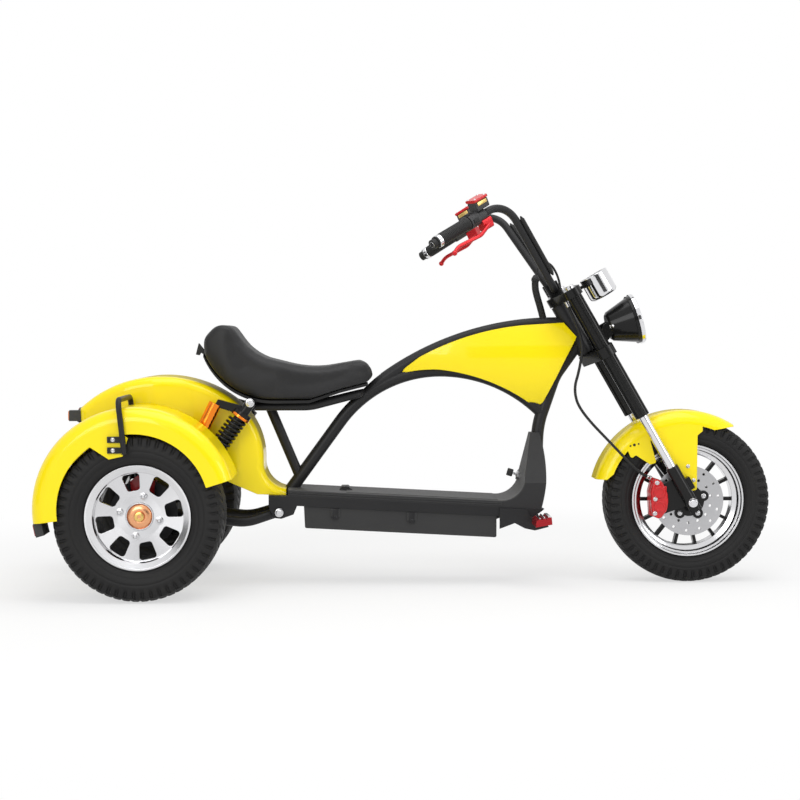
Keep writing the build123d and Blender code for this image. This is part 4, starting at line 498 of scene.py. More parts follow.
# Shock absorbers: black dampers and coil springs, with orange anodised reservoirs and collars.
# Each spring is one bar of round wire wound between the damper's two seats, under its collar.
gloss_black = finish("gloss_black_enamel", (0.008, 0.008, 0.008), (0.014, 0.014, 0.014), (0.12, 0.2),
                     coat=0.08, grain_scale=300.0, grain_depth=0.01, specular=0.16)
orange_anodised = finish("orange_anodised", (0.92, 0.27, 0.03), (0.82, 0.21, 0.02), (0.1, 0.18), metallic=1.0,
                         grain_scale=400.0, grain_depth=0.02)
dress(gloss_black, "shock_dampers")
dress(orange_anodised, "shock_reservoirs")
SPRING_TURNS = 15
SPRING_STEPS = 24
SPRING_COIL_R = 0.0228
WIRE_R = 0.004
SHOCK_Y = 140
SPRING_FROM = 0.053
SPRING_TO = 0.2425


def shock_line(sign):
    """Upper eye of a shock absorber and the way from it to the lower one."""
    top = at(SHOCK_TOP[0], sign * SHOCK_Y, SHOCK_TOP[1])
    return top, (at(SHOCK_FOOT[0], sign * SHOCK_Y, SHOCK_FOOT[1]) - top).normalized()


wire = bpy.data.curves.new("spring_coils", "CURVE")
wire.dimensions = "3D"
wire.bevel_depth = WIRE_R
wire.bevel_resolution = 4
for sign in (-1, 1):
    top, down = shock_line(sign)
    across = Vector((0, 1, 0))
    other = down.cross(across)
    spline = wire.splines.new("POLY")
    spline.points.add(SPRING_TURNS * SPRING_STEPS)
    for index, point in enumerate(spline.points):
        angle = 2 * math.pi * index / SPRING_STEPS
        share = index / (SPRING_TURNS * SPRING_STEPS)
        along = SPRING_FROM + WIRE_R + share * (SPRING_TO - SPRING_FROM - 2 * WIRE_R)
        spot = top + down * along + (across * math.cos(angle) + other * math.sin(angle)) * SPRING_COIL_R
        point.co = (*spot, 1)
wire.materials.append(gloss_black)
springs = bpy.data.objects.new("spring_coils", wire)
bpy.context.scene.collection.objects.link(springs)
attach(springs, "frame")
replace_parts(springs, "shock_springs")
collars = bmesh.new()
for sign in (-1, 1):
    turned(collars, *shock_line(sign),
           ((44, 27), (44.5, 28.2), (51, 28.2), (51.5, 27)), steps=48, closed=False)
put("spring_collars", collars, orange_anodised, "frame")

# Tyres: black rubber moulded with a road tread, circular grooves crossed by slanted shoulder cuts.
# They sit on their rims' beads and turn with them.
tyre_rubber = finish("tyre_rubber", (0.009, 0.009, 0.0095), (0.016, 0.0155, 0.015), (0.5, 0.66),
                     grain_scale=500.0, grain_depth=0.25, edge_radius=0.0008, specular=0.25)
WHEELBASE = 1530
REAR_TYRE_R = 226
REAR_TYRE_Y = 278.5
FRONT_TYRE_R = 236
SIDE_STEPS, SHOULDER_STEPS, EDGE_STEPS, CROWN_STEPS = 20, 10, 6, 14
SHOULDER_IN = 8
SHOULDER_DROP = 10
CROWN_SHARE = 0.62
CROWN_BOW = 1.5
CUT_STEPS = 6
CUT_WIDE = 2
CUT_DEPTH = 4.0
CUT_FROM = 0.34
CUT_SLANT = 9
GROOVES = (0.0, 0.3)
GROOVE_HALF = 0.03
GROOVE_DEPTH = 4.5
TREAD_EDGE = 9.5
BLOCK_DEPTH = 37
WALL_SHARE = 0.8
SHOULDER_CUT = 4.5
RING_STEPS = (12, 13, 18)
RING_DEPTH = 1.6


def tyre_side(half_w, outer_r, bead_r, lip_r, foot):
    """Half of a tyre's section from the bead to the middle of its crown, in millimetres."""
    root = lip_r + 1
    wide = (outer_r + root) / 2
    shoulder_y, shoulder_r = half_w - SHOULDER_IN, outer_r - SHOULDER_DROP
    crown_y = half_w * CROWN_SHARE
    side = [(foot, bead_r), (foot, root)]
    for step in range(1, SIDE_STEPS + 1):
        angle = math.pi / 2 * step / SIDE_STEPS
        groove = RING_DEPTH if step in RING_STEPS else 0
        side.append((foot + (half_w - foot) * math.sin(angle) - groove,
                     root + (wide - root) * (1 - math.cos(angle))))
    for step in range(1, SHOULDER_STEPS + 1):
        angle = math.pi / 2 * step / SHOULDER_STEPS
        side.append((shoulder_y + SHOULDER_IN * math.cos(angle),
                     wide + (shoulder_r - wide) * math.sin(angle)))
    for step in range(1, EDGE_STEPS + 1):
        share = step / EDGE_STEPS
        bow = 4 * share * (1 - share)
        side.append((shoulder_y + (crown_y - shoulder_y) * share + 2 * bow,
                     shoulder_r + (outer_r - CROWN_BOW - shoulder_r) * share + 2 * bow))
    for step in range(1, CROWN_STEPS + 1):
        y = crown_y * (1 - step / CROWN_STEPS)
        side.append((y, outer_r - CROWN_BOW * (y / crown_y) ** 2))
    return side


def road_tyre(name, node, body, centre, half_w, outer_r, bead_r, lip_r, foot, cuts):
    """Tyre with a tread, in place of its CAD node."""
    side = tyre_side(half_w, outer_r, bead_r, lip_r, foot)
    section = side + [(-y, r) for y, r in reversed(side[:-1])]
    steps = cuts * CUT_STEPS
    bm = bmesh.new()
    rings = []
    for step in range(steps):
        ring = []
        for y, radius in section:
            share = abs(y) / half_w
            depth = 0.0
            dent = 0.0
            slant = step + round(share * CUT_SLANT) * (1 if y > 0 else -1)
            in_cut = slant % CUT_STEPS < CUT_WIDE
            if radius > outer_r - TREAD_EDGE:
                if share > CUT_FROM and in_cut:
                    depth = CUT_DEPTH
                if any(abs(share - groove) < GROOVE_HALF for groove in GROOVES):
                    depth = GROOVE_DEPTH
            elif radius > outer_r - BLOCK_DEPTH and share > WALL_SHARE and in_cut:
                dent = SHOULDER_CUT
            angle = 2 * math.pi * step / steps
            reach = (radius - depth) / 1000
            side_y = (y - math.copysign(dent, y)) / 1000
            out = Vector((reach * math.cos(angle), side_y, reach * math.sin(angle)))
            ring.append(bm.verts.new(centre + out))
        rings.append(ring)
    for step in range(steps):
        here, after = rings[step], rings[(step + 1) % steps]
        for index in range(len(section)):
            beside = (index + 1) % len(section)
            bm.faces.new((here[index], here[beside], after[beside], after[index]))
    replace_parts(put(name, bm, tyre_rubber, body), node)


for name, sign in (("left", 1), ("right", -1)):
    road_tyre(f"tread_{name}", f"rear_tyre_{name}", f"rear_wheel_{name}",
              at(0, sign * REAR_TYRE_Y, REAR_TYRE_R),
              half_w=97.5, outer_r=REAR_TYRE_R, bead_r=127.3, lip_r=140.5, foot=71.7, cuts=56)
road_tyre("tread_front", "front_tyre", "front_wheel", at(WHEELBASE, 0, FRONT_TYRE_R),
          half_w=60, outer_r=FRONT_TYRE_R, bead_r=152.3, lip_r=161, foot=36.7, cuts=60)

# Rims: cast alloy, polished in front. The rear ones are turned bright on the face, with a near-black painted
# shade on all that is set back from it, and held by four plated nuts, with copper caps over the axle.
# The front hub is black enamel with a brushed disc bolted to its petals.
polished = finish("polished_alloy", (0.74, 0.74, 0.75), (0.62, 0.62, 0.64), (0.1, 0.2), metallic=1.0,
                  grain_scale=250.0, grain_depth=0.02)
dress(polished, "front_rim")
RIM_FACE_Y = 314.5
MACHINED_BACK_Y = RIM_FACE_Y - 7
rim_alloy = finish("machined_rim_alloy", (0.76, 0.76, 0.77), (0.64, 0.64, 0.66), (0.18, 0.3), metallic=1.0,
                   grain_scale=250.0, grain_depth=0.02)
RECESS_PAINTED_SHADE = (0.012, 0.012, 0.013)
tree = rim_alloy.node_tree
shader = tree.nodes["Principled BSDF"]
shader.inputs["Anisotropic"].default_value = 0.7
turning = tree.nodes.new("ShaderNodeTangent")
turning.direction_type = "RADIAL"
turning.axis = "Y"
tree.links.new(turning.outputs["Tangent"], shader.inputs["Tangent"])
# Painted shade: the rim deeper than its face, window walls and barrel, takes a near-black colour that is not
# metallic
unshaded_face_mask = painted_shade_tone(rim_alloy, "ShaderNodeTexCoord", "Object",
                       (MACHINED_BACK_Y / 1000, (MACHINED_BACK_Y + 1) / 1000), RECESS_PAINTED_SHADE, "A")
tree.links.new(unshaded_face_mask, shader.inputs["Metallic"])
dress(rim_alloy, "rear_rim_left", "rear_rim_right")
dress(gloss_black, "front_hub")
steel = finish("brushed_steel", (0.58, 0.58, 0.59), (0.48, 0.48, 0.5), (0.25, 0.4), metallic=1.0,
               grain_scale=350.0, grain_depth=0.05)
dress(steel, "front_disc", "front_spindle")
# Painted shade: the rear hubs and their discs take the dark cast alloy, for the shade inside the wheels
dress(cast_dark, "rear_hub_left", "rear_hub_right")
copper = finish("copper_cap", (0.85, 0.42, 0.22), (0.75, 0.36, 0.18), (0.2, 0.32), metallic=1.0,
                grain_scale=300.0, grain_depth=0.03)
dress(copper, "hub_cap_left", "hub_cap_right")
brass = finish("brass_centre", (0.83, 0.58, 0.2), (0.75, 0.5, 0.15), (0.22, 0.34), metallic=1.0,
               grain_scale=300.0, grain_depth=0.03)
LUG_R = 54
for name, sign in (("left", 1), ("right", -1)):
    lugs = bmesh.new()
    for turn in range(4):
        angle = math.radians(78 + 90 * turn)
        spot = at(LUG_R * math.cos(angle), sign * RIM_FACE_Y, REAR_TYRE_R + LUG_R * math.sin(angle))
        hex_bolt(lugs, spot, (0, sign, 0), 8.0)
        turned(lugs, spot, (0, sign, 0), ((6, 5), (12, 5), (13.5, 3.5)), steps=16)
    put(f"wheel_nuts_{name}", lugs, plated, f"rear_wheel_{name}")
    ring = bmesh.new()
    turned(ring, at(0, sign * RIM_FACE_Y, REAR_TYRE_R), (0, sign, 0),
           ((0, 38), (2.5, 38), (4, 36.5), (4, 34.2), (0, 34.2)), steps=64, closed=False)
    put(f"cap_ring_{name}", ring, polished, f"rear_wheel_{name}")
    centre_nut = bmesh.new()
    turned(centre_nut, at(0, sign * (RIM_FACE_Y + 13), REAR_TYRE_R), (0, sign, 0),
           ((-0.5, 12.6), (0.6, 12.6), (1.2, 11.4), (1.2, 5), (-1, 4.4)), steps=40)
    put(f"cap_centre_{name}", centre_nut, brass, f"rear_wheel_{name}")
PETAL_R = 44
PETAL_FACE_Y = -58.8
petals = bmesh.new()
for turn in range(5):
    angle = math.radians(18 + 72 * turn)
    spot = at(WHEELBASE + PETAL_R * math.cos(angle), PETAL_FACE_Y, FRONT_TYRE_R + PETAL_R * math.sin(angle))
    socket_bolt(petals, spot, (0, -1, 0), 5.0)
put("carrier_bolts", petals, plated, "front_wheel")

# Fork: black fluted covers over chromed tubes, black sliders and clamps with plated nuts.
# The axle is drawn tight with a nut at each end, and cap bolts hold the fender's side plates.
dress(gloss_black, "fork_covers", "fork_sliders", "steering_stem", "upper_clamp", "lamp_bracket")
chrome = finish("chrome", (0.76, 0.76, 0.77), (0.7, 0.7, 0.72), (0.04, 0.1), metallic=1.0, grain_scale=200.0,
                grain_depth=0.01)
dress(chrome, "fork_tubes")
RAKE = math.radians(30)
fork_ahead = Vector((math.cos(RAKE), 0, math.sin(RAKE)))
fork_up = Vector((-math.sin(RAKE), 0, math.cos(RAKE)))


def fork_at(ahead, y, up):
    """Point in metres ahead of the fork, to the left and up the fork from the front axle."""
    return at(WHEELBASE, 0, FRONT_TYRE_R) + fork_ahead * ahead + Vector((0, y, 0)) + fork_up * up


nuts = bmesh.new()
turned(nuts, fork_at(-0.038, 0, 0.696), fork_up,
       ((0, 19), (1.5, 19), (1.6, 17.5), (5.5, 17.5), (6.5, 15)), steps=48)
for sign in (-1, 1):
    hex_bolt(nuts, at(WHEELBASE, sign * 116, FRONT_TYRE_R), (0, sign, 0), 9.5)
    turned(nuts, fork_at(0, sign * 0.092, 0.702), fork_up,
           ((-1, 13.6), (3, 13.6), (4.5, 12), (5, 6), (3.5, 5.5)))
    lamp_pivot = fork_at(0.06, sign * 0.037, 0.542)
    hex_bolt(nuts, lamp_pivot, (0, sign, 0), 6.0)
    turned(nuts, lamp_pivot, (0, sign, 0), ((4, 4.8), (7, 4.6), (9, 3.2), (9.8, 1)), steps=20)
put("fork_nuts", nuts, chrome, "steering")
FENDER_SIDE_Y = 70
fender_bolts = bmesh.new()
for sign in (-1, 1):
    for x, z in ((1524, 336), (1541, 296)):
        socket_bolt(fender_bolts, at(x, sign * FENDER_SIDE_Y, z), (0, sign, 0), 4.0)
put("fender_bolts", fender_bolts, plated, "steering")
fender_screws = bmesh.new()
for sign in (-1, 1):
    for x, z, radius in ((1359, 394, 1.8), (1370, 397, 2.8), (1382, 400, 1.8)):
        socket_bolt(fender_screws, at(x, sign * FENDER_SIDE_Y, z), (0, sign, 0), radius)
put("fender_screws", fender_screws, satin_black, "steering")

# Brakes: red calipers and anodised levers. The front caliper's outer half is a casting with two
# piston bosses, held by three bolts.
# The fluid hose is black rubber on crimped plated ends, and hangs in a bow beside the leg.
dress(red_alloy, "brake_levers")
grip_rubber = finish("grip_rubber", (0.012, 0.012, 0.012), (0.02, 0.02, 0.02), (0.45, 0.6), grain_scale=900.0,
                     grain_depth=0.4, specular=0.28)
caliper_red = finish("caliper_red", (0.62, 0.012, 0.016), (0.5, 0.008, 0.012), (0.25, 0.36), coat=0.3,
                     grain_scale=500.0, grain_depth=0.08, edge_radius=0.002, specular=0.35)
dress(caliper_red, "front_caliper", "rear_calipers", "reservoir_lids")
CALIPER_BACK_Y = -66
CALIPER_FACE_Y = -97
CALIPER_EDGE = 0.005
caliper_outline = (
    (1413, 262), (1415, 230), (1418, 200), (1430, 190), (1442, 189), (1460, 212),
    (1464, 236), (1461, 262), (1447, 293), (1434, 301), (1423, 301),
)
half = bmesh.new()
back_ring = [half.verts.new(at(x, CALIPER_BACK_Y + 2, z)) for x, z in caliper_outline]
face_ring = [half.verts.new(at(x, CALIPER_FACE_Y, z)) for x, z in caliper_outline]
half.faces.new(back_ring)
half.faces.new(list(reversed(face_ring)))
for index in range(len(caliper_outline)):
    beside = (index + 1) % len(caliper_outline)
    half.faces.new((back_ring[beside], back_ring[index], face_ring[index], face_ring[beside]))
bmesh.ops.bevel(half, geom=half.edges[:], offset=CALIPER_EDGE, segments=4, profile=0.5, affect="EDGES")
for x, z in ((1439, 224), (1438, 264)):
    turned(half, at(x, CALIPER_FACE_Y, z), (0, -1, 0),
           ((-1, 17), (1.6, 17), (3, 15.5), (3, 11), (1.4, 10), (1.4, 4)), steps=48)
slab(half, at(1456, CALIPER_FACE_Y + 10, 246), (0, 0, 1), (0, -1, 0), (0.07, 0.006, 0.014), 0.0015)
put("caliper_half", half, caliper_red, "steering")
bolts = bmesh.new()
for x, z in ((1425, 204), (1426, 245), (1431, 291)):
    socket_bolt(bolts, at(x, CALIPER_FACE_Y, z), (0, -1, 0), 4.5)
put("caliper_bolts", bolts, plated, "steering")
HOSE_R = 0.004
hose_route = [fork_at(*spot) for spot in (
    (-0.024, -0.062, 0.672),
    (-0.030, -0.072, 0.600),
    (-0.045, -0.080, 0.540),
    (-0.090, -0.082, 0.484),
    (-0.132, -0.082, 0.444),
    (-0.146, -0.082, 0.382),
    (-0.108, -0.082, 0.232),
    (-0.086, -0.078, 0.140),
    (-0.062, -0.054, 0.110),
)]
hose = smooth_tube("front_brake_hose", hose_route, HOSE_R, grip_rubber)
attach(hose, "steering")
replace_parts(hose, "brake_hose")
ferrules = bmesh.new()
for start, toward in ((hose_route[0], hose_route[1]), (hose_route[-1], hose_route[-2])):
    turned(ferrules, start, toward - start, ((1, 6.5), (6, 6.5), (7, 5.2), (18, 5.2), (19, 4.4)), steps=24)
hose_ends = put("hose_ends", ferrules, plated, "steering")

# Wiring loom: ribbed rubber sleeve from the top tube up behind the handlebar clamp.
# A rubber boot closes it, and one lead loops from the boot to the stem, to let the bars turn.
ribbed = finish("ribbed_sleeve", (0.012, 0.012, 0.012), (0.018, 0.018, 0.018), (0.45, 0.6), grain_scale=900.0,
                grain_depth=0.1, specular=0.3)
tree = ribbed.node_tree
rings = tree.nodes.new("ShaderNodeTexWave")
rings.bands_direction = "Z"
rings.inputs["Scale"].default_value = 78.0
ripple = tree.nodes.new("ShaderNodeBump")
ripple.inputs["Strength"].default_value = 0.9
ripple.inputs["Distance"].default_value = 0.002
spots = tree.nodes.new("ShaderNodeTexCoord")
tree.links.new(spots.outputs["Object"], rings.inputs["Vector"])
tree.links.new(rings.outputs["Fac"], ripple.inputs["Height"])
tree.links.new(ripple.outputs["Normal"], tree.nodes["Principled BSDF"].inputs["Normal"])
SLEEVE_R = 0.010
LEAD_R = 0.0033
loom_route = [at(*spot) for spot in (
    (1118, 0, 752), (1108, 0, 790), (1098, 0, 822), (1092, 0, 850), (1094, 0, 872),
)]
loom = smooth_tube("loom_sleeve", loom_route, SLEEVE_R, ribbed)
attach(loom, "frame")
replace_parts(loom, "wiring_loom")
boot = bmesh.new()
turned(boot, loom_route[-1], loom_route[-1] - loom_route[-2],
       ((-9, 10.4), (-7, 11.6), (-1, 11.6), (1, 10.6), (9, 6.4), (10, 5), (9, 4)), steps=32, closed=False)
put("loom_boot", boot, grip_rubber, "frame")
lead_route = [at(*spot) for spot in (
    (1095, 0, 876), (1099, 0, 900), (1112, 0, 919), (1136, 0, 916), (1155, 0, 888), (1166, 0, 852),
    (1166, 0, 832),
)]
lead_line = smooth_tube("lead_line", lead_route, 0.0, grip_rubber)
lead_body = smooth_tube("lead_body", lead_route, LEAD_R, grip_rubber)
bpy.context.view_layer.update()
depsgraph = bpy.context.evaluated_depsgraph_get()
centre_line = bpy.data.meshes.new_from_object(lead_line.evaluated_get(depsgraph))
lead = bpy.data.objects.new("loom_lead", bpy.data.meshes.new_from_object(lead_body.evaluated_get(depsgraph)))
bpy.context.scene.collection.objects.link(lead)
for spare in (lead_line, lead_body):
    bpy.data.objects.remove(spare)
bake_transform(lead)

# Handlebar in satin black with ribbed rubber grips, a plated ring at each outer end.
# The switch housings are clamped beside them, with their buttons.
dress(satin_black, "handlebar")
dress(grip_rubber, "grips")
dress(moulded_black, "switch_housings", "master_cylinders")
GRIP_END = (794, 300, 958)
BAR_KNEE = (990, 160, 1080)
BAR_FOOT = (1143, 45, 840)
RIB_COUNT = 18
RIB_PITCH = 5


def bar_at(spot, sign):
    """Place on one side of the handlebar."""
    return at(spot[0], sign * spot[1], spot[2])


def grip_frame(sign):
    """Outer end of a grip, its way in, its downward side and the way across."""
    end = bar_at(GRIP_END, sign)
    inward = (bar_at(BAR_KNEE, sign) - end).normalized()
    down = Vector((0, 0, -1))
    lean = (down - inward * down.dot(inward)).normalized()
    return end, inward, lean, inward.cross(lean)


ribs = bmesh.new()
end_rings = bmesh.new()
buttons = bmesh.new()
sights = bmesh.new()
screws = bmesh.new()
for sign in (-1, 1):
    end, inward, lean, across = grip_frame(sign)
    profile = [(15, 16.4)]
    for step in range(RIB_COUNT):
        foot = RIB_PITCH * step
        profile += [(16 + foot, 17.6), (19 + foot, 17.6), (19.6 + foot, 16.7), (20.4 + foot, 16.7)]
    profile += [(108, 18), (112, 20), (117, 20), (118, 18.5), (118.5, 16.4)]
    turned(ribs, end, inward, profile, steps=40, closed=False)
    turned(end_rings, end, inward, ((0, 16.4), (0.8, 17.8), (11, 17.8), (12, 16.4)), steps=40, closed=False)
    turned(end_rings, end, inward, ((-18.6, 4), (-18.6, 8), (-17.8, 8.5)), steps=24)
    for along, drop, size in ((128, -20, 0.011), (142, -20, 0.009)):
        spot = end + inward * along / 1000 + lean * drop / 1000
        slab(buttons, spot, inward, -lean, (size, 0.016, 0.007), 0.002)
    slab(buttons, end + inward * 0.136 - across * 0.020, inward, -across, (0.018, 0.012, 0.006), 0.002)
    box_mid = end + inward * 0.178
    for way in (-1, 1):
        spot = box_mid - lean * 0.036 + across * way * 0.0181
        slab(sights, spot, inward, across, (0.034, 0.010, 0.0016), 0.0006)
        for spread in (-1, 1):
            spot = box_mid - lean * 0.051 + inward * way * 0.018 + across * spread * 0.014
            socket_bolt(screws, spot, -lean, 2.4)
put("grip_ribs", ribs, grip_rubber, "steering")
put("grip_rings", end_rings, chrome, "steering")
put("switch_buttons", buttons, grip_rubber, "steering")
gold = finish("gold_sight_strip", (0.85, 0.62, 0.22), (0.75, 0.52, 0.16), (0.2, 0.35), metallic=0.8,
              grain_scale=400.0, grain_depth=0.03)
put("fluid_sights", sights, gold, "steering")
put("lid_screws", screws, plated, "steering")

# Cable sleeves: ribbed tubes strapped along the front of the risers, over the control cables.
# Each tapers into the bar at both ends.
SLEEVE_RIBS = 42
SLEEVE_PITCH = 4.4
sleeves = bmesh.new()
for sign in (-1, 1):
    knee = bar_at(BAR_KNEE, sign)
    run = bar_at(BAR_FOOT, sign) - knee
    way = run.normalized()
    front = (Vector((1, 0, 0)) - way * way.x).normalized()
    start = knee + way * 0.062 + front * 0.0165
    profile = [(0, 2), (8, 5)]
    for step in range(SLEEVE_RIBS):
        foot = SLEEVE_PITCH * step
        profile += [(10 + foot, 6.6), (12.4 + foot, 6.6), (13.2 + foot, 5.6)]
    profile += [(197, 5), (204, 2)]
    turned(sleeves, start, way, profile, steps=20)
put("cable_sleeves", sleeves, grip_rubber, "steering")

# Headlamp: black bucket with a chrome bezel, a polished bowl with its bulb behind a fluted lens.
# It is bolted between the two arms of its bracket.
dress(gloss_black, "headlamp_shell")
dress(chrome, "headlamp_bezel", "gauge")
LAMP_TILT = math.radians(16.5)
lamp_axis = Vector((math.cos(LAMP_TILT), 0, math.sin(LAMP_TILT)))
lamp_face = at(1380, 0, 755)
bowl = bmesh.new()
turned(bowl, lamp_face, lamp_axis,
       [(-66 + 64 * (step / 12) ** 2, 12 + 48 * step / 12) for step in range(13)], steps=64, closed=False)
put("lamp_bowl", bowl, chrome, "steering")


def clear_glass(name, colour, transmission):
    """Clear moulded glass or plastic with a fine ripple."""
    material = bpy.data.materials.new(name)
    material.use_nodes = True
    tree = material.node_tree
    shader = tree.nodes["Principled BSDF"]
    shader.inputs["Base Color"].default_value = rgba(colour)
    shader.inputs["Transmission Weight"].default_value = transmission
    shader.inputs["IOR"].default_value = 1.47
    flute = tree.nodes.new("ShaderNodeTexWave")
    flute.bands_direction = "Y"
    flute.inputs["Scale"].default_value = 40.0
    spots = tree.nodes.new("ShaderNodeTexCoord")
    smear = tree.nodes.new("ShaderNodeTexNoise")
    smear.inputs["Scale"].default_value = 30.0
    haze = tree.nodes.new("ShaderNodeMapRange")
    haze.inputs["To Min"].default_value = 0.02
    haze.inputs["To Max"].default_value = 0.08
    ripple = tree.nodes.new("ShaderNodeBump")
    ripple.inputs["Strength"].default_value = 0.15
    ripple.inputs["Distance"].default_value = 0.001
    tree.links.new(spots.outputs["Object"], flute.inputs["Vector"])
    tree.links.new(spots.outputs["Object"], smear.inputs["Vector"])
    tree.links.new(smear.outputs["Fac"], haze.inputs["Value"])
    tree.links.new(haze.outputs["Result"], shader.inputs["Roughness"])
    tree.links.new(flute.outputs["Fac"], ripple.inputs["Height"])
    tree.links.new(ripple.outputs["Normal"], shader.inputs["Normal"])
    return material


lens_glass = clear_glass("lamp_glass", (0.92, 0.94, 0.95), 0.9)
dress(lens_glass, "headlamp_lens")
bulb = bmesh.new()
turned(bulb, lamp_face, lamp_axis, ((-70, 11), (-60, 11), (-58, 8), (-50, 9), (-40, 9.5), (-33, 7), (-30, 2)))
put("lamp_bulb", bulb, lens_glass, "steering")

# Gauge: chromed pod with a black dial, plain tick marks, a red needle and a domed glass.
# The rim is rolled over the glass.
gauge_face = at(1260, 0, 881)
rim = bmesh.new()
turned(rim, gauge_face, fork_up, ((-1.5, 42.4), (1.2, 42.2), (2.4, 40.6), (1.8, 38.4), (-0.5, 38)), steps=64,
       closed=False)
put("gauge_rim", rim, chrome, "steering")
dial = bmesh.new()
turned(dial, gauge_face, fork_up, ((-2, 37.6), (-1.4, 37.6), (-1.3, 37)), steps=64)
put("gauge_dial", dial, moulded_black, "steering")
white_ink = finish("white_dial_ink", (0.8, 0.8, 0.8), (0.74, 0.74, 0.74), (0.5, 0.6), grain_scale=900.0)
DIAL_START = -30
TICK_OUT = 0.034


def dial_way(degrees):
    """Way out from the middle of the dial."""
    angle = math.radians(degrees)
    return Vector((0, math.cos(angle), 0)) + fork_ahead * math.sin(angle)


ticks = bmesh.new()
for step in range(25):
    out = dial_way(DIAL_START + 10 * step)
    length = 0.007 if step % 4 == 0 else 0.004
    spot = gauge_face + out * (TICK_OUT - length / 2) - fork_up * 0.0011
    slab(ticks, spot, out, fork_up, (length, 0.001, 0.0004), 0.0001)
put("gauge_ticks", ticks, white_ink, "steering")
needle = bmesh.new()
way = dial_way(DIAL_START)
slab(needle, gauge_face + way * 0.011 - fork_up * 0.0004, way, fork_up, (0.034, 0.0018, 0.0008), 0.0003)
turned(needle, gauge_face, fork_up, ((-1.2, 4), (0, 4), (0.4, 3)), steps=24)
put("gauge_needle", needle, red_alloy, "steering")
cover = bmesh.new()
turned(cover, gauge_face, fork_up, ((0.4, 38.2), (1.4, 34), (2.2, 22), (2.5, 8), (2.5, 1)), steps=64,
       closed=False)
put("gauge_glass", cover, clear_glass("dial_glass", (0.97, 0.98, 0.98), 1.0), "steering")

# Tail lamp: black bracket bar with a red lens in the middle and an amber one at each end.
# The reflectors under the fenders are red lenses on black carriers.
dress(moulded_black, "tail_lamp", "rear_reflectors")
red_lens = finish("red_lens", (0.45, 0.006, 0.008), (0.32, 0.004, 0.006), (0.14, 0.24), coat=0.25,
                  grain_scale=500.0, grain_depth=0.1, specular=0.3)
amber_lens = finish("amber_lens", (0.85, 0.22, 0.006), (0.72, 0.17, 0.005), (0.14, 0.24), coat=0.25,
                    grain_scale=500.0, grain_depth=0.1, specular=0.3)
FENDER_AT = (-8, 250)
FENDER_MID_Y = 318.5
LENS_OUT = 0.2695
REFLECTOR_ANGLE = math.radians(192)
back = Vector((math.cos(REFLECTOR_ANGLE), 0, math.sin(REFLECTOR_ANGLE)))
reflectors = bmesh.new()
for sign in (-1, 1):
    spot = at(FENDER_AT[0], sign * FENDER_MID_Y, FENDER_AT[1]) + back * LENS_OUT
    slab(reflectors, spot, (0, 1, 0), back, (0.072, 0.03, 0.004), 0.0012)
put("reflector_lenses", reflectors, red_lens, "frame")
lens = bmesh.new()
slab(lens, at(-212.5, 0, 480), (0, 1, 0), (0, 0, 1), (0.074, 0.005, 0.025), 0.002)
put("tail_lens", lens, red_lens, "frame")
turn_lenses = bmesh.new()
for sign in (-1, 1):
    slab(turn_lenses, at(-224.5, sign * 84, 484), (0, 1, 0), (0, 0, 1), (0.022, 0.005, 0.026), 0.002)
put("turn_lenses", turn_lenses, amber_lens, "frame")

# Studio: white sweep of floor, soft top light and a fill from each side.
# The floor shows white to the camera far from the part, and keeps the part's shadow near it.
# Dark flags out of view, seen only in reflections, draw the edges of plated parts.
FLOOR_NEAR = 0.9
FLOOR_FAR = 2.2


def straight_rays(tree):
    """Socket that is 1 for what the camera sees, by itself, in a mirror or through glass."""
    rays = tree.nodes.new("ShaderNodeLightPath")
    seen = rays.outputs["Is Camera Ray"]
    for kind in ("Is Glossy Ray", "Is Transmission Ray"):
        either = tree.nodes.new("ShaderNodeMath")
        either.operation = "MAXIMUM"
        tree.links.new(seen, either.inputs[0])
        tree.links.new(rays.outputs[kind], either.inputs[1])
        seen = either.outputs["Value"]
    return seen


bpy.ops.mesh.primitive_plane_add(size=60, location=(0, 0, 0))
floor = bpy.context.object
floor.name = "floor"
floor_white = bpy.data.materials.new("studio_floor")
floor_white.use_nodes = True
tree = floor_white.node_tree
matt = tree.nodes["Principled BSDF"]
matt.inputs["Base Color"].default_value = (0.9, 0.9, 0.9, 1)
matt.inputs["Roughness"].default_value = 0.9
matt.inputs["Specular IOR Level"].default_value = 0.0
glow = tree.nodes.new("ShaderNodeEmission")
spots = tree.nodes.new("ShaderNodeTexCoord")
far = tree.nodes.new("ShaderNodeVectorMath")
far.operation = "LENGTH"
fade = tree.nodes.new("ShaderNodeMapRange")
fade.interpolation_type = "SMOOTHSTEP"
fade.inputs["From Min"].default_value = FLOOR_NEAR
fade.inputs["From Max"].default_value = FLOOR_FAR
fade.inputs["To Min"].default_value = 0.6
share = tree.nodes.new("ShaderNodeMath")
share.operation = "MULTIPLY"
both = tree.nodes.new("ShaderNodeMixShader")
tree.links.new(spots.outputs["Object"], far.inputs[0])
tree.links.new(far.outputs["Value"], fade.inputs["Value"])
tree.links.new(straight_rays(tree), share.inputs[0])
tree.links.new(fade.outputs["Result"], share.inputs[1])
tree.links.new(share.outputs["Value"], both.inputs["Fac"])
tree.links.new(matt.outputs["BSDF"], both.inputs[1])
tree.links.new(glow.outputs["Emission"], both.inputs[2])
tree.links.new(both.outputs["Shader"], tree.nodes["Material Output"].inputs["Surface"])
floor.data.materials.append(floor_white)

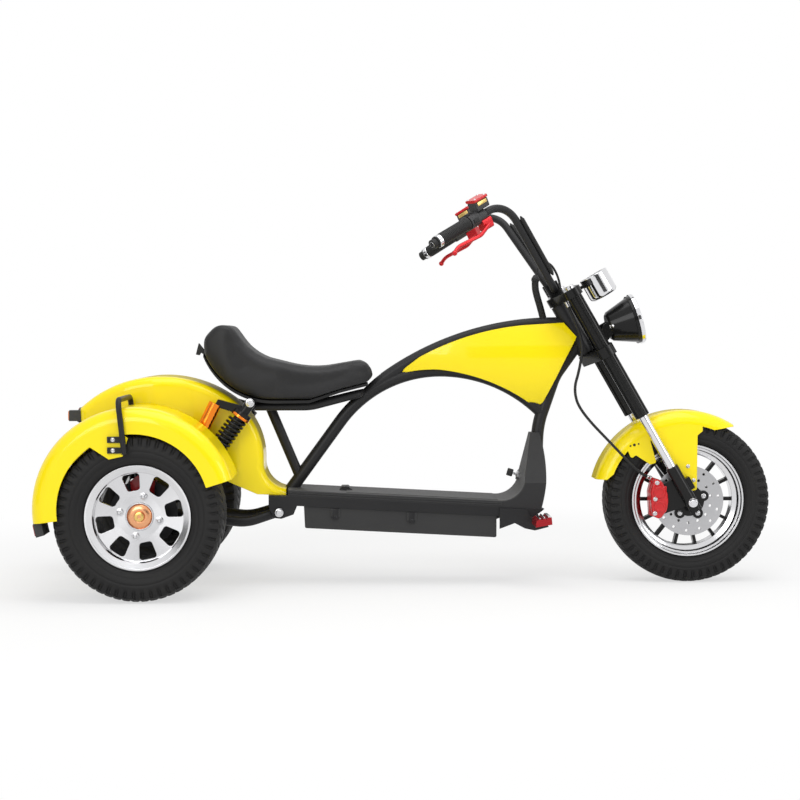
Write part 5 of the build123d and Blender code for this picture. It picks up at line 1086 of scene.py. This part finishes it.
world = bpy.data.worlds.new("studio")
bpy.context.scene.world = world
world.use_nodes = True
tree = world.node_tree
sky = tree.nodes["Background"]
bright = tree.nodes.new("ShaderNodeMapRange")
bright.inputs["To Min"].default_value = 0.55
bright.inputs["To Max"].default_value = 1.0
tree.links.new(straight_rays(tree), bright.inputs["Value"])
tree.links.new(bright.outputs["Result"], sky.inputs["Strength"])
sky.inputs["Color"].default_value = (1, 1, 1, 1)


def soft_light(name, place, aim, size, power):
    """Square area light that faces a point."""
    lamp = bpy.data.lights.new(name, "AREA")
    lamp.size = size
    lamp.energy = power
    light = bpy.data.objects.new(name, lamp)
    light.location = place
    light.rotation_euler = (Vector(aim) - Vector(place)).to_track_quat("-Z", "Y").to_euler()
    bpy.context.scene.collection.objects.link(light)


soft_light("top", (0.2, -0.6, 3.4), (0, 0, 0.3), 3.0, 60)
soft_light("near_side", (-1.6, -3.6, 1.8), (0, 0, 0.5), 1.8, 40)
soft_light("front", (3.2, -1.8, 1.6), (0.4, 0, 0.5), 1.4, 25)

flag_dark = bpy.data.materials.new("flag_dark")
flag_dark.use_nodes = True
flag_dark.node_tree.nodes["Principled BSDF"].inputs["Base Color"].default_value = (0.1, 0.1, 0.1, 1)
for name, place, size in (
    ("flag_near", (1.5, -7.0, 1.6), (5.0, 2.2)),
    ("flag_front", (5.5, -2.0, 1.2), (2.6, 2.4)),
    ("flag_back", (-5.5, -2.0, 1.2), (2.6, 2.4)),
    ("flag_far", (0, 7.0, 0.9), (9.0, 1.8)),
    ("flag_over", (0.0, 1.2, 4.5), (4.0, 1.2)),
):
    bpy.ops.mesh.primitive_plane_add(size=1.0, location=place)
    flag = bpy.context.object
    flag.name = name
    flag.scale = (*size, 1)
    flag.rotation_euler = (Vector((0, 0, 0.5)) - Vector(place)).to_track_quat("-Z", "Y").to_euler()
    flag.data.materials.append(flag_dark)
    flag.visible_camera = False
    flag.visible_diffuse = False
    flag.visible_shadow = False
    flag.visible_transmission = False

# Camera at the photograph's viewing angle: level with the tank and almost square to the side.
# Its place and lens were fitted to the tyres on the ground.
camera = bpy.data.objects.new("camera", bpy.data.cameras.new("camera"))
bpy.context.scene.collection.objects.link(camera)
camera.data.lens = 70.53
camera.data.sensor_width = 36.0
camera.location = (-0.1779, -4.49935, 0.71126)
yaw, pitch = 0.0308, 0.0418
look = Vector((math.sin(yaw) * math.cos(pitch), math.cos(yaw) * math.cos(pitch), -math.sin(pitch)))
camera.rotation_euler = look.to_track_quat("-Z", "Y").to_euler()
camera.data.clip_end = 100.0
bpy.context.scene.camera = camera
bpy.context.scene.view_settings.view_transform = "Standard"
